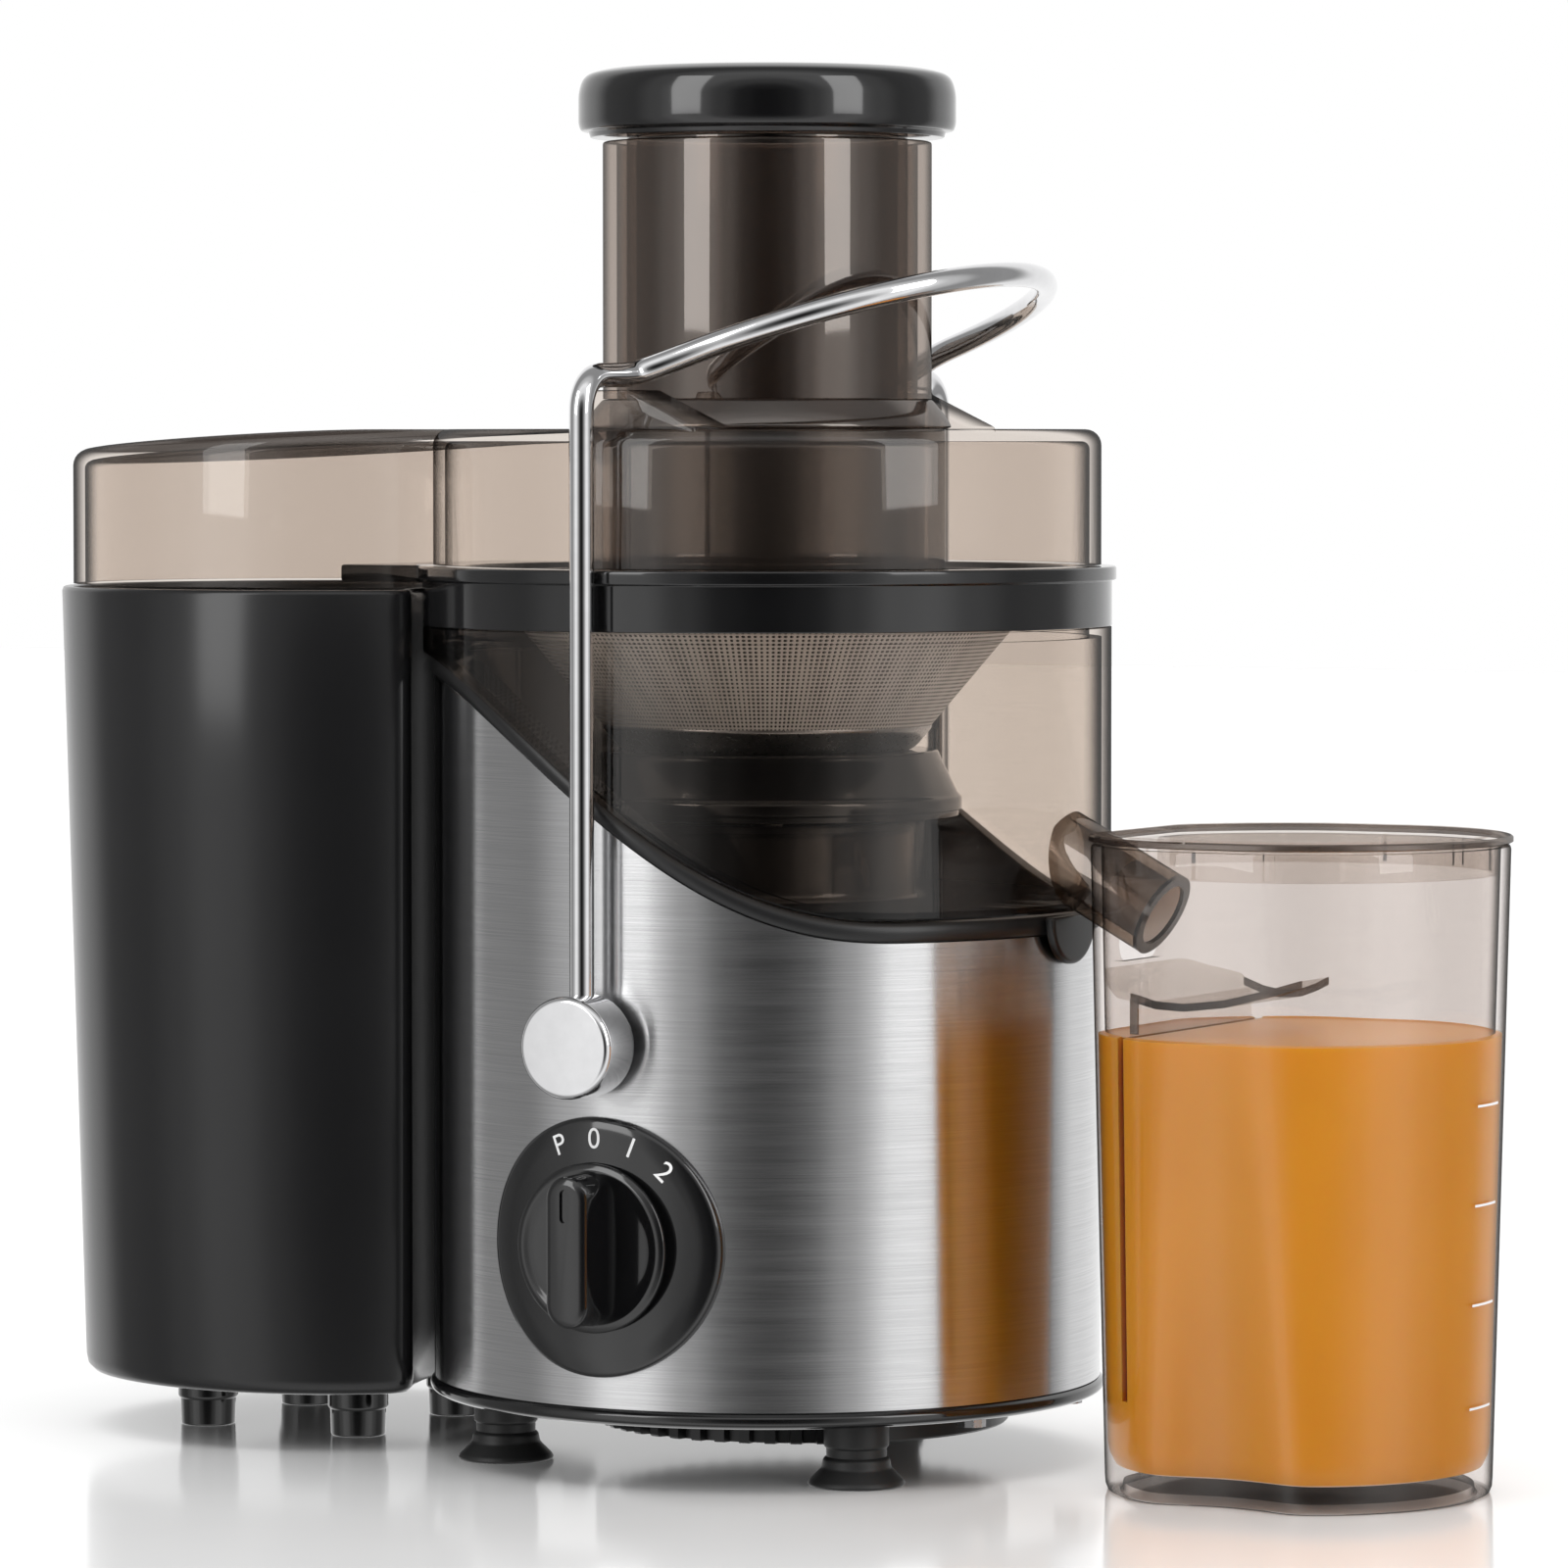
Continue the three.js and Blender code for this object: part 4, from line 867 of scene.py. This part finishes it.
# ---- lid and pusher
def lid_outline(inset, z, parts=72):
    """The joined outline of the lid's round main part and its round bin cover."""
    a_r, b_r, b_x = LID["r"] - inset, LID["bin_r"] - inset, LID["bin_x"]
    x = (b_r**2 - a_r**2 - b_x**2) / (-2 * b_x)
    y = sqrt(a_r**2 - x**2)
    meet = atan2(y, x)
    turn = atan2(y, x - b_x)
    row = []
    for k in range(parts):
        a = -meet + 2 * meet * k / parts
        row.append((a_r * cos(a), a_r * sin(a), z))
    for k in range(parts):
        a = turn + (tau - 2 * turn) * k / parts
        row.append((b_x + b_r * cos(a), b_r * sin(a), z))
    return row


def fallen(row):
    """The outline let down beyond the lid's fall line."""
    ease = 18  # millimetres over which the fall sets in
    out = []
    for x, y, z in row:
        past = max(0.0, LID_FALL_X - x)
        out.append((x, y, z - LID_FALL * past * past / (past + ease)))
    return out


def lid_solid(name, inset, foot, top, corner):
    """The lid's outline as a solid with a rounded, falling top."""
    rows = [lid_outline(inset, foot)]
    for k in range(7):
        a = radians(15 * k)
        row = lid_outline(inset + corner * (1 - cos(a)), top - corner + corner * sin(a))
        rows.append(fallen(row))
    return loft(name, rows, sharp=60)


def lid_ear(name, side):
    """A ramp on the lid that the closing arm rides over."""
    outline = [(-9, 256), (24, 256), (24, 258.6), (5, 267.4), (-5, 267.4), (-9, 262)]
    rows = [[(x, side * y, z) for x, z in outline] for y in EAR_REACH]
    return bevel(loft(name, rows), 0.9)


def make_lid():
    """The lid over bowl and bin, the throat that hangs from it and the chute above."""
    top, wall, below = LID["top"], LID["wall"], 200
    flange, hole = FLANGE_R + 0.5, 40.5
    lid = lid_solid("lid_shell", 0.0, LID_BIN_FOOT, top, 4.0)
    room = turned(
        "flange_room", [(0, below), (flange, below), (flange, LID_FOOT), (0, LID_FOOT)], steps=180,
    )
    inside = lid_solid("lid_inside", wall, below, top - wall, 2.0)
    bore = turned("lid_bore", [(0, below), (hole, below), (hole, 270), (0, 270)], steps=128)
    carve(lid, room, inside, bore)
    fuse(lid, lid_ear("ear_front", -1), lid_ear("ear_rear", 1))
    finish_piece(lid, "base", "lid", "smoky_plastic", "lid")
    inner, outer, foot = THROAT["bore"], THROAT["r"], THROAT["foot"]
    throat = turned(
        "lid_throat",
        [
            (inner, foot), (outer, foot, 0.8), (outer, top - 2.8),
            (44.6, top + 0.2, 1.5), (46.5, top + 0.4, 1.5),
            (45.0, top + 3.2, 1.6), (41.35, top + 7.5, 2.0), (inner, top + 7.5), (inner, top - 4),
        ],
        closed=True,
    )
    finish_piece(throat, "base", "throat", "smoky_plastic")
    inner, outer, foot = CHUTE["bore"], CHUTE["r"], top + 7.6
    chute = turned(
        "lid_chute",
        [(inner, foot), (outer, foot), (outer, CHUTE_TOP, 0.8), (inner, CHUTE_TOP, 0.8)],
        closed=True,
    )
    finish_piece(chute, "base", "chute", "smoky_plastic")


def make_pusher():
    """The pusher's closed-ended tube and its black cap."""
    low, high = cad("pusher_tube")
    r, wall, floor = high.x, 2.5, low.z + 3
    tube = turned(
        "pusher_body",
        [
            (0, low.z), (r - 3, low.z, 2), (r, floor, 2), (r, high.z), (r - wall, high.z),
            (r - wall, floor, 1), (0, floor),
        ],
    )
    finish_piece(tube, "pusher", "chute", "smoky_plastic", "pusher_tube")
    low, high = cad("pusher_cap")
    r = high.x
    cap = turned(
        "pusher_top",
        [
            (0, low.z + 3), (32, low.z + 3), (32, low.z), (r - 3, low.z, 0.4),
            (r - 2.6, low.z + 1.4, 0.4),
            (r - 0.6, low.z + 1.7, 0.6), (r, low.z + 3.4, 1.2), (r, high.z - 6, 3),
            (r - 1.4, high.z - 2.0, 3.2), (r - 6.5, high.z - 0.5, 3),
            (r - 12, high.z - 0.3, 3), (0, high.z),
        ],
        steps=192,
        sharp=50,
    )
    finish_piece(cap, "pusher", "gloss", "gloss_black", "pusher_cap")


# ---- locking arm
def make_arm():
    """The arm's one bent wire and its two round caps."""
    leg, top, bend = ARM["leg_y"], ARM["top"], ARM["bend"]

    def bail(angle):
        """A point of the loop round the chute, which rises towards the juice side."""
        a = radians(angle)
        x = ARM["bail_x"] + ARM["bail_r"] * cos(a)
        return (x, ARM["bail_r"] * sin(a), top + 1 + ARM["rise"] * x)

    side = [(0, -leg, PIVOT_Z + 6), (0, -leg, 150), (0, -leg, 200), (0, -leg, top - bend - 4)]
    for k in range(0, 91, 15):
        a = radians(k)
        side.append((0, -leg + bend * (1 - cos(a)), top - bend + bend * sin(a)))
    side += [(0.2, -leg + 15, top), (0.8, -leg + 20, top + 0.1), (2.4, -leg + 25, top + 0.7)]
    guide = side + [bail(a) for a in range(-84, 85, 7)] + [(x, -y, z) for x, y, z in reversed(side)]
    curve = bpy.data.curves.new("arm_guide", "CURVE")
    curve.dimensions = "3D"
    spline = curve.splines.new("NURBS")
    spline.points.add(len(guide) - 1)
    for point, where in zip(spline.points, guide):
        point.co = (*where, 1)
    spline.order_u, spline.use_endpoint_u, spline.resolution_u = 4, True, 8
    path = [tuple(v.co) for v in curve_mesh(curve).vertices]
    wire = along("arm_wire", path, ARM["wire"])
    finish_piece(wire, "arm", "chrome", "chrome", "locking_arm")
    for name, sign in (("front", -1), ("rear", 1)):
        low, high = cad(f"pivot_cap_{name}")
        r = (high.x - low.x) / 2
        inner, outer = sorted((abs(low.y), abs(high.y)))
        cap = turned(
            f"arm_cap_{name}",
            [
                (0, inner), (r - 1, inner), (r, inner + 1, 0.8), (r, outer - 1.2, 0.5),
                (r - 0.5, outer - 0.4, 0.5), (r - 1.1, outer, 0.4), (0, outer),
            ],
            steps=96,
            sharp=26,
        )
        place(cap, turned_by(-90 * sign, "X", z=PIVOT_Z))
        finish_piece(cap, "arm", "chrome", "chrome", f"pivot_cap_{name}")


# ---- pulp bin
def rounded_outline(points, corners, reach, parts=8):
    """The outline with the numbered corners rounded."""
    out = []
    count = len(points)
    for k, p in enumerate(points):
        if k not in corners:
            out.append(p)
            continue
        here = Vector(p)
        before, after = Vector(points[k - 1]) - here, Vector(points[(k + 1) % count]) - here
        start, end = here + before.normalized() * reach, here + after.normalized() * reach
        out.extend(eased(start, here, end, parts))
    return out


def bin_outline(inset, z):
    """The bin's outline: a round with a scoop that clears the base, its corners rounded."""
    t = (z - BIN["foot"]) / (BIN_TOP - BIN["foot"])
    r = BIN["low_r"] + (BIN["top_r"] - BIN["low_r"]) * t - inset
    x0 = BIN["low_x"] + (BIN["top_x"] - BIN["low_x"]) * t
    scoop = BIN["scoop"] + inset
    x = (r**2 - scoop**2 - x0**2) / (-2 * x0)
    y = sqrt(scoop**2 - x**2)
    reach, clear = BIN["corner"], 1.3
    turn = atan2(y, x - x0) + reach / r * clear
    meet = atan2(y, -x) - reach / scoop * clear
    row, round_steps, scoop_steps = [], 96, 32
    for k in range(round_steps + 1):
        a = turn + (tau - 2 * turn) * k / round_steps
        row.append((x0 + r * cos(a), r * sin(a)))
    row.append((x, -y))
    for k in range(scoop_steps + 1):
        a = -meet + 2 * meet * k / scoop_steps
        row.append((-scoop * cos(a), scoop * sin(a)))
    row.append((x, y))
    row = rounded_outline(row, (round_steps + 1, round_steps + scoop_steps + 3), reach * 0.9)
    return [(px, py, z) for px, py in row]


def make_bin():
    """The pulp bin, up its outside and down its inside, and its four studs."""
    foot, wall, top = BIN["foot"], BIN["wall"], BIN_TOP
    levels = (
        (4.0, foot), (1.6, foot + 0.5), (0.4, foot + 1.8), (0.0, foot + 4),
        (0.0, foot + 50), (0.0, foot + 100),
        (0.0, foot + 150), (0.0, top - 1.2), (0.35, top - 0.3),
        (1.0, top), (2.2, top), (2.8, top - 0.4),
        (wall, top - 1.2), (wall, foot + 100), (wall, foot + 6),
        (wall + 2, foot + 3.4), (wall + 5, foot + wall),
    )
    body = loft("bin_body", [bin_outline(inset, z) for inset, z in levels], sharp=50)
    finish_piece(body, "bin", "bin", "gloss_black", "pulp_bin")
    profile = [(0, 0), (7.0, 0, 0.6), (7.2, 6.8), (7.8, 7.4, 0.4), (7.8, foot + 1), (0, foot + 1)]
    for k, (x, y) in enumerate(BIN_STUDS, 1):
        stud = shift(turned(f"bin_foot_{k}", profile, steps=64), x, y)
        finish_piece(stud, "bin", "gloss", "gloss_black")


# ---- jug
def flute_depth(x, y, inset, z):
    """Where the finger flute's round cutter leaves the side of the jug that runs through (x, y)."""
    off = x - FLUTE["x"]
    r = FLUTE["r"] + inset
    if abs(off) >= r or abs(y) < FLUTE["clear_of_axis"]:
        return y
    lean = (FLUTE["deep"] + 1 + JUG["top_r"] - JUG["low_r"]) / JUG_TOP
    cutter = JUG["low_r"] + FLUTE["r"] - FLUTE["deep"] + lean * z - sqrt(r**2 - off**2)
    blend, steep = FLUTE["blend"], -30
    gap = (cutter - abs(y)) / blend
    soft = -blend * log(1 + exp(-gap)) if gap > steep else blend * gap
    return copysign(abs(y) + soft, y)


def jug_outline(inset, z):
    """The jug's outline: a round with a flat side and two finger flutes that deepen downwards."""
    r = JUG["low_r"] + (JUG["top_r"] - JUG["low_r"]) * z / JUG_TOP - inset
    flat = JUG["x"] - JUG["flat"] - inset
    half = acos(flat / r)
    reach = JUG["corner"]
    start = pi - half - reach / r
    row, round_steps, flat_steps = [], 160, 12
    for k in range(round_steps + 1):
        a = -start + 2 * start * k / round_steps
        row.append((JUG["x"] + r * cos(a), r * sin(a)))
    corner_y = r * sin(half)
    row.append((JUG["x"] - flat, corner_y))
    for k in range(1, flat_steps):
        row.append((JUG["x"] - flat, (corner_y - reach) * (1 - 2 * k / flat_steps)))
    row.append((JUG["x"] - flat, -corner_y))
    row = rounded_outline(row, (round_steps + 1, round_steps + flat_steps + 1), reach * 0.95)
    return [(x, flute_depth(x, y, inset, z), z) for x, y in row]


def jug_solid(name, levels):
    """A solid through the jug's outlines, each given as (inset, height)."""
    return loft(name, [jug_outline(inset, z) for inset, z in levels], sharp=50)


def spread(inset, low, high, count=10):
    """Evenly spaced levels at one inset."""
    return [(inset, low + (high - low) * k / count) for k in range(count + 1)]


def make_jug():
    """The jug, up its outside and down its inside, and the juice in it."""
    wall, floor, top = JUG["wall"], JUG["floor"], JUG_TOP
    levels = [(4.5, 2.2), (4.2, 0.4), (3.6, 0.0), (1.6, 0.0), (0.6, 0.5), (0.1, 1.8)]
    levels += spread(0.0, 4.0, top - 1.0, 14) + [
        (0.25, top - 0.2), (0.8, top), (1.8, top), (2.3, top - 0.3),
    ]
    levels += reversed(spread(wall, floor + 4, top - 1.2, 14))
    levels += [(wall + 0.8, floor + 1.4), (wall + 2.6, floor + 0.3), (wall + 6, floor)]
    jug = jug_solid("jug_body", levels)
    notch = box("notch_tool", (95, -13, 128), (109, 13, 170))
    bevel(notch, 4.0, 6)
    carve(jug, notch)
    finish_piece(jug, "jug", "jug", "smoky_plastic", "juice_jug")
    level, outer = JUICE_LEVEL, 0.9
    levels = [(outer + 4.2, floor + 0.35), (outer + 1.6, floor + 1.0), (outer + 0.35, floor + 3.6)]
    levels += spread(outer, floor + 6, level - 0.4, 12)
    levels += [(wall, level), (wall + 0.8, level - 0.35), (wall + 3, level - 0.5)]
    juice = jug_solid("juice", levels)
    plate, gap = SHELF_PLATE["x"], 0.3
    carve(
        juice,
        box("plate_slot", (plate - gap, -60, SHELF_PLATE["foot"] - gap), (plate + 2.1, 60, level + 5)),
    )
    finish_piece(juice, "jug", "juice", "smoky_plastic")


def make_jug_marks():
    """Level marks printed down the side of the jug."""
    azimuth = radians(JUG_MARKS["azimuth"])
    for k, z in enumerate(JUG_MARKS["heights"]):
        r = JUG["low_r"] + (JUG["top_r"] - JUG["low_r"]) * z / JUG_TOP + JUG_MARKS["proud"]
        half, tall = JUG_MARKS["wide"] / r / 2, JUG_MARKS["half_tall"]
        rows = []
        for s in range(-6, 7):
            a = azimuth + half * s / 6
            x, y = JUG["x"] + r * cos(a), r * sin(a)
            rows.append([(x, y, z - tall), (x, y, z + tall)])
        finish_piece(skin(f"jug_mark_{k}", rows), "jug", "white", "smoky_plastic")


def make_jug_lid():
    """The jug's thin lid with its skirt and ribs, and a darker band round its edge: painted shade for the
    dark look of the clear edge.
    """
    low, high = cad("jug_lid")
    foot, top = JUG_TOP + 0.3, high.z

    def ring(inset, z):
        return [(x, y, z) for x, y, _ in jug_outline(inset, JUG_TOP)]

    levels = (
        (0.6, foot), (0.0, foot + 0.5), (0.0, top - 0.8), (0.4, top - 0.2),
        (1.2, top), (4.0, top), (4.6, top - 0.5),
    )
    cover = loft("jug_cover_plate", [ring(*level) for level in levels], sharp=50)
    outer, inner = 2.9, 4.6
    skirt = loft("cover_skirt", [ring(outer, z) for z in (low.z, foot + 0.4)])
    core = loft("skirt_core", [ring(inner, z) for z in (low.z - 1, foot + 1)])
    carve(skirt, core, box("skirt_gap", (90, -14, 100), (118, 14, foot + 1)))
    ribs = []
    for k, angle in enumerate(COVER_RIBS["angles"]):
        a = radians(angle)
        x, y = JUG["x"] + COVER_RIBS["r"] * cos(a), COVER_RIBS["r"] * sin(a)
        corners = (x - 0.8, y - 1.6, low.z + 0.5), (x + 0.8, y + 1.6, foot + 0.3)
        ribs.append(box(f"cover_rib_{k}", *corners))
    fuse(cover, skirt, *ribs)
    finish_piece(cover, "jug_cover", "cover", "smoky_plastic", "jug_lid")
    # Painted shade: a darker band laid just outside the lid's edge, where the clear edge looks dark.
    levels = ((0.0, foot + 0.3), (-0.5, foot + 0.6), (-0.5, top - 0.7), (0.0, top - 0.3))
    edge_shade = loft("jug_cover_edge_shade", [ring(*level) for level in levels], sharp=50)
    carve(edge_shade, loft("edge_shade_core", [ring(0.25, z) for z in (foot - 1, top + 1)]))
    finish_piece(edge_shade, "jug_cover", "throat", "smoky_plastic")


def make_separator():
    """The froth shelf, which narrows to its lip, and the plate that it hangs on in the jug, with dark strips
    along their edges as painted shade.
    """
    # edge is the width of the painted-shade strips along the shelf's sides.
    thick, edge, proud = SHELF_PLATE["thick"], 0.8, 0.05
    # How far out the shelf is at each station, its height there and half its width.
    stations = [
        (103, 128.5, 50), (110, 125, 42), (118, 122, 32), (124, 120.2, 30.5),
        (130, 119.6, 27.5), (138, 120.4, 22),
        (146, 122.6, 14), (152, 124.7, 8),
    ]

    def strip(name, low_y, high_y, first, reach):
        rows = []
        for x, z, half in stations[first:]:
            y0, y1, z0, z1 = low_y(half), high_y(half), z - thick - reach, z + reach
            rows.append([(x, y0, z1), (x, y1, z1), (x, y1, z0), (x, y0, z0)])
        return loft(name, rows)

    shelf = strip("froth_shelf", lambda half: -half, lambda half: half, 0, 0.0)
    front, back = SHELF_PLATE["x"], SHELF_PLATE["x"] + SHELF_PLATE["thick"]
    wide, neck_wide = SHELF_PLATE["half_wide"], SHELF_PLATE["neck"]
    hung = box("froth_plate_low", (front, -wide, SHELF_PLATE["foot"]), (back, wide, 111.6))
    neck = box("froth_plate_high", (front, -neck_wide, 111), (back, neck_wide, 121.4))
    fuse(shelf, hung, neck)
    room = jug_solid("separator_room", spread(JUG["wall"] + 0.35, JUG["floor"] + 1, JUG_TOP, 10))
    boolean(shelf, [room], "INTERSECT")
    finish_piece(shelf, "jug", "cover", "smoky_plastic", "froth_separator")
    # Painted shade: dark strips along the shelf's sides and the plate's edge, where clear edges look dark.
    near_shade = strip("froth_shade_near", lambda half: -half - proud, lambda half: edge - half, 2, proud)
    far_shade = strip("froth_shade_far", lambda half: half - edge, lambda half: half + proud, 2, proud)
    stem_shade = box(
        "froth_plate_shade", (front - 0.1, -neck_wide - 0.1, 112.2),
        (back + 0.1, edge - neck_wide, 120.6),
    )
    for piece in (near_shade, far_shade, stem_shade):
        finish_piece(piece, "jug", "throat", "smoky_plastic")


# ---- pieces inside and the studio
CAMERA = {
    "azimuth": 29.0, "distance": 1.9, "height": 0.255, "pitch": 2.6, "right": 0.0042, "lens": 173.3,
}
# The room's brightness at each angle in degrees from the camera's side.
STUDIO_TONES = (
    (180, 1.0), (132, 0.9), (112, 0.30), (90, 0.28), (72, 0.55), (56, 0.95), (42, 0.85), (28, 0.38),
    (14, 0.08), (0, 0.01),
)
SOFTBOX = {
    "off_axis": 50, "distance": 2.6, "height": 1.3, "wide": 1.0,
    "tall": 2.0, "power": 16, "aim": 0.12,
}
CEILING = {"power": 2.2, "spread": 70, "height": 3}
FLOOR_HALF = 6.0


def finish_inner_nodes():
    """The working parts inside keep their CAD shapes and take the finish of their slot."""
    finish = {
        "black_plastic": "satin", "gloss_black": "gloss",
        "brushed_steel": "steel", "plain_steel": "metal",
        "strainer_mesh": "mesh", "chrome": "chrome", "smoky_plastic": "bowl", "rubber": "rubber",
        "copper": "copper", "carbon": "rubber",
    }
    slots = {part["node"]: part["material_slot"] for part in frame["record"]["subparts"]}
    for name, obj in frame["nodes"].items():
        for holder in obj.material_slots:
            holder.material = MATERIALS[finish[slots[name]]]


def make_world():
    """A white room whose mirror image is dark behind the camera and bright to both sides of it."""
    world = bpy.data.worlds.new("studio")
    world.use_nodes = True
    ray = node(world, "TexCoord")
    toward = node(world, "VectorMath", operation="DOT_PRODUCT")
    toward.inputs[1].default_value = view_direction(CAMERA["azimuth"])
    link(world, ray.outputs["Generated"], toward.inputs[0])
    share = node(world, "MapRange", {"From Min": -1.0})
    link(world, toward.outputs["Value"], share.inputs["Value"])
    tones = node(world, "ValToRGB")
    ramp = tones.color_ramp
    ramp.interpolation = "EASE"
    stops = [((1 + cos(radians(angle))) / 2, tone) for angle, tone in STUDIO_TONES]
    ramp.elements[0].position, ramp.elements[1].position = stops[0][0], stops[-1][0]
    for spot, _ in stops[1:-1]:
        ramp.elements.new(spot)
    for stop, (_, tone) in zip(ramp.elements, stops):
        stop.color = (tone, tone, tone, 1)
    link(world, share.outputs[0], tones.inputs["Fac"])
    seen = node(world, "LightPath")
    white = node(world, "Mix", data_type="RGBA")
    white.inputs["B"].default_value = (1, 1, 1, 1)
    link(world, seen.outputs["Is Camera Ray"], white.inputs["Factor"])
    link(world, tones.outputs["Color"], white.inputs["A"])
    link(world, white.outputs["Result"], world.node_tree.nodes["Background"].inputs["Color"])
    bpy.context.scene.world = world


def make_floor():
    """A pale floor that shows its own gloss but isn't mirrored in the juicer."""
    h = FLOOR_HALF
    mesh = bpy.data.meshes.new("floor")
    mesh.from_pydata([(-h, -h, 0), (h, -h, 0), (h, h, 0), (-h, h, 0)], [], [(0, 1, 2, 3)])
    mesh.materials.append(moulded("floor_white", (0.92, 0.92, 0.92), 0.10, 0.14, 0.0, shade=1.02))
    obj = add_object("floor", mesh)
    obj.visible_glossy = False


def view_direction(azimuth):
    """The level direction towards a viewer; azimuth 0 is the front and 90 the juice side."""
    a = radians(azimuth)
    return Vector((sin(a), -cos(a), 0.0))


def make_camera():
    """The camera, and the plain colour response that the pale scene needs."""
    bpy.context.scene.view_settings.view_transform = "Standard"
    back = view_direction(CAMERA["azimuth"])
    right = Vector((-back.y, back.x, 0.0))
    data = bpy.data.cameras.new("camera")
    data.lens = CAMERA["lens"]
    data.sensor_width = 36.0
    data.clip_end = 50.0
    cam = add_object("camera", data)
    cam.location = back * CAMERA["distance"] + right * CAMERA["right"] + Vector(
        (0, 0, CAMERA["height"])
    )
    pitch = radians(CAMERA["pitch"])
    look = -back * cos(pitch) - Vector((0, 0, sin(pitch)))
    cam.rotation_mode = "QUATERNION"
    cam.rotation_quaternion = look.to_track_quat("-Z", "Y")
    bpy.context.scene.camera = cam


def softbox(name, azimuth):
    """A tall area light that faces the motor's axis from an azimuth."""
    data = bpy.data.lights.new(name, "AREA")
    data.shape, data.energy = "RECTANGLE", SOFTBOX["power"]
    data.size, data.size_y = SOFTBOX["wide"], SOFTBOX["tall"]
    light = add_object(name, data)
    light.location = view_direction(azimuth) * SOFTBOX["distance"] + Vector((0, 0, SOFTBOX["height"]))
    light.rotation_mode = "QUATERNION"
    light.rotation_quaternion = (Vector((0, 0, SOFTBOX["aim"])) - light.location).to_track_quat(
        "-Z", "Y",
    )
    light.visible_camera = False


def make_lights():
    """Two softboxes beside the camera and an even light from above."""
    softbox("box_left", CAMERA["azimuth"] - SOFTBOX["off_axis"])
    softbox("box_right", CAMERA["azimuth"] + SOFTBOX["off_axis"])
    data = bpy.data.lights.new("ceiling", "SUN")
    data.energy, data.angle = CEILING["power"], radians(CEILING["spread"])
    ceiling = add_object("ceiling", data)
    ceiling.location = (0, 0, CEILING["height"])
    ceiling.visible_glossy = False


finish_inner_nodes()
make_base()
make_vent_ring()
make_feet()
make_dial()
make_knob()
make_gland()
make_bowl()
make_collar()
make_strainer()
make_lid()
make_pusher()
make_arm()
make_bin()
make_jug()
make_jug_marks()
make_jug_lid()
make_separator()
make_world()
make_floor()
make_camera()
make_lights()
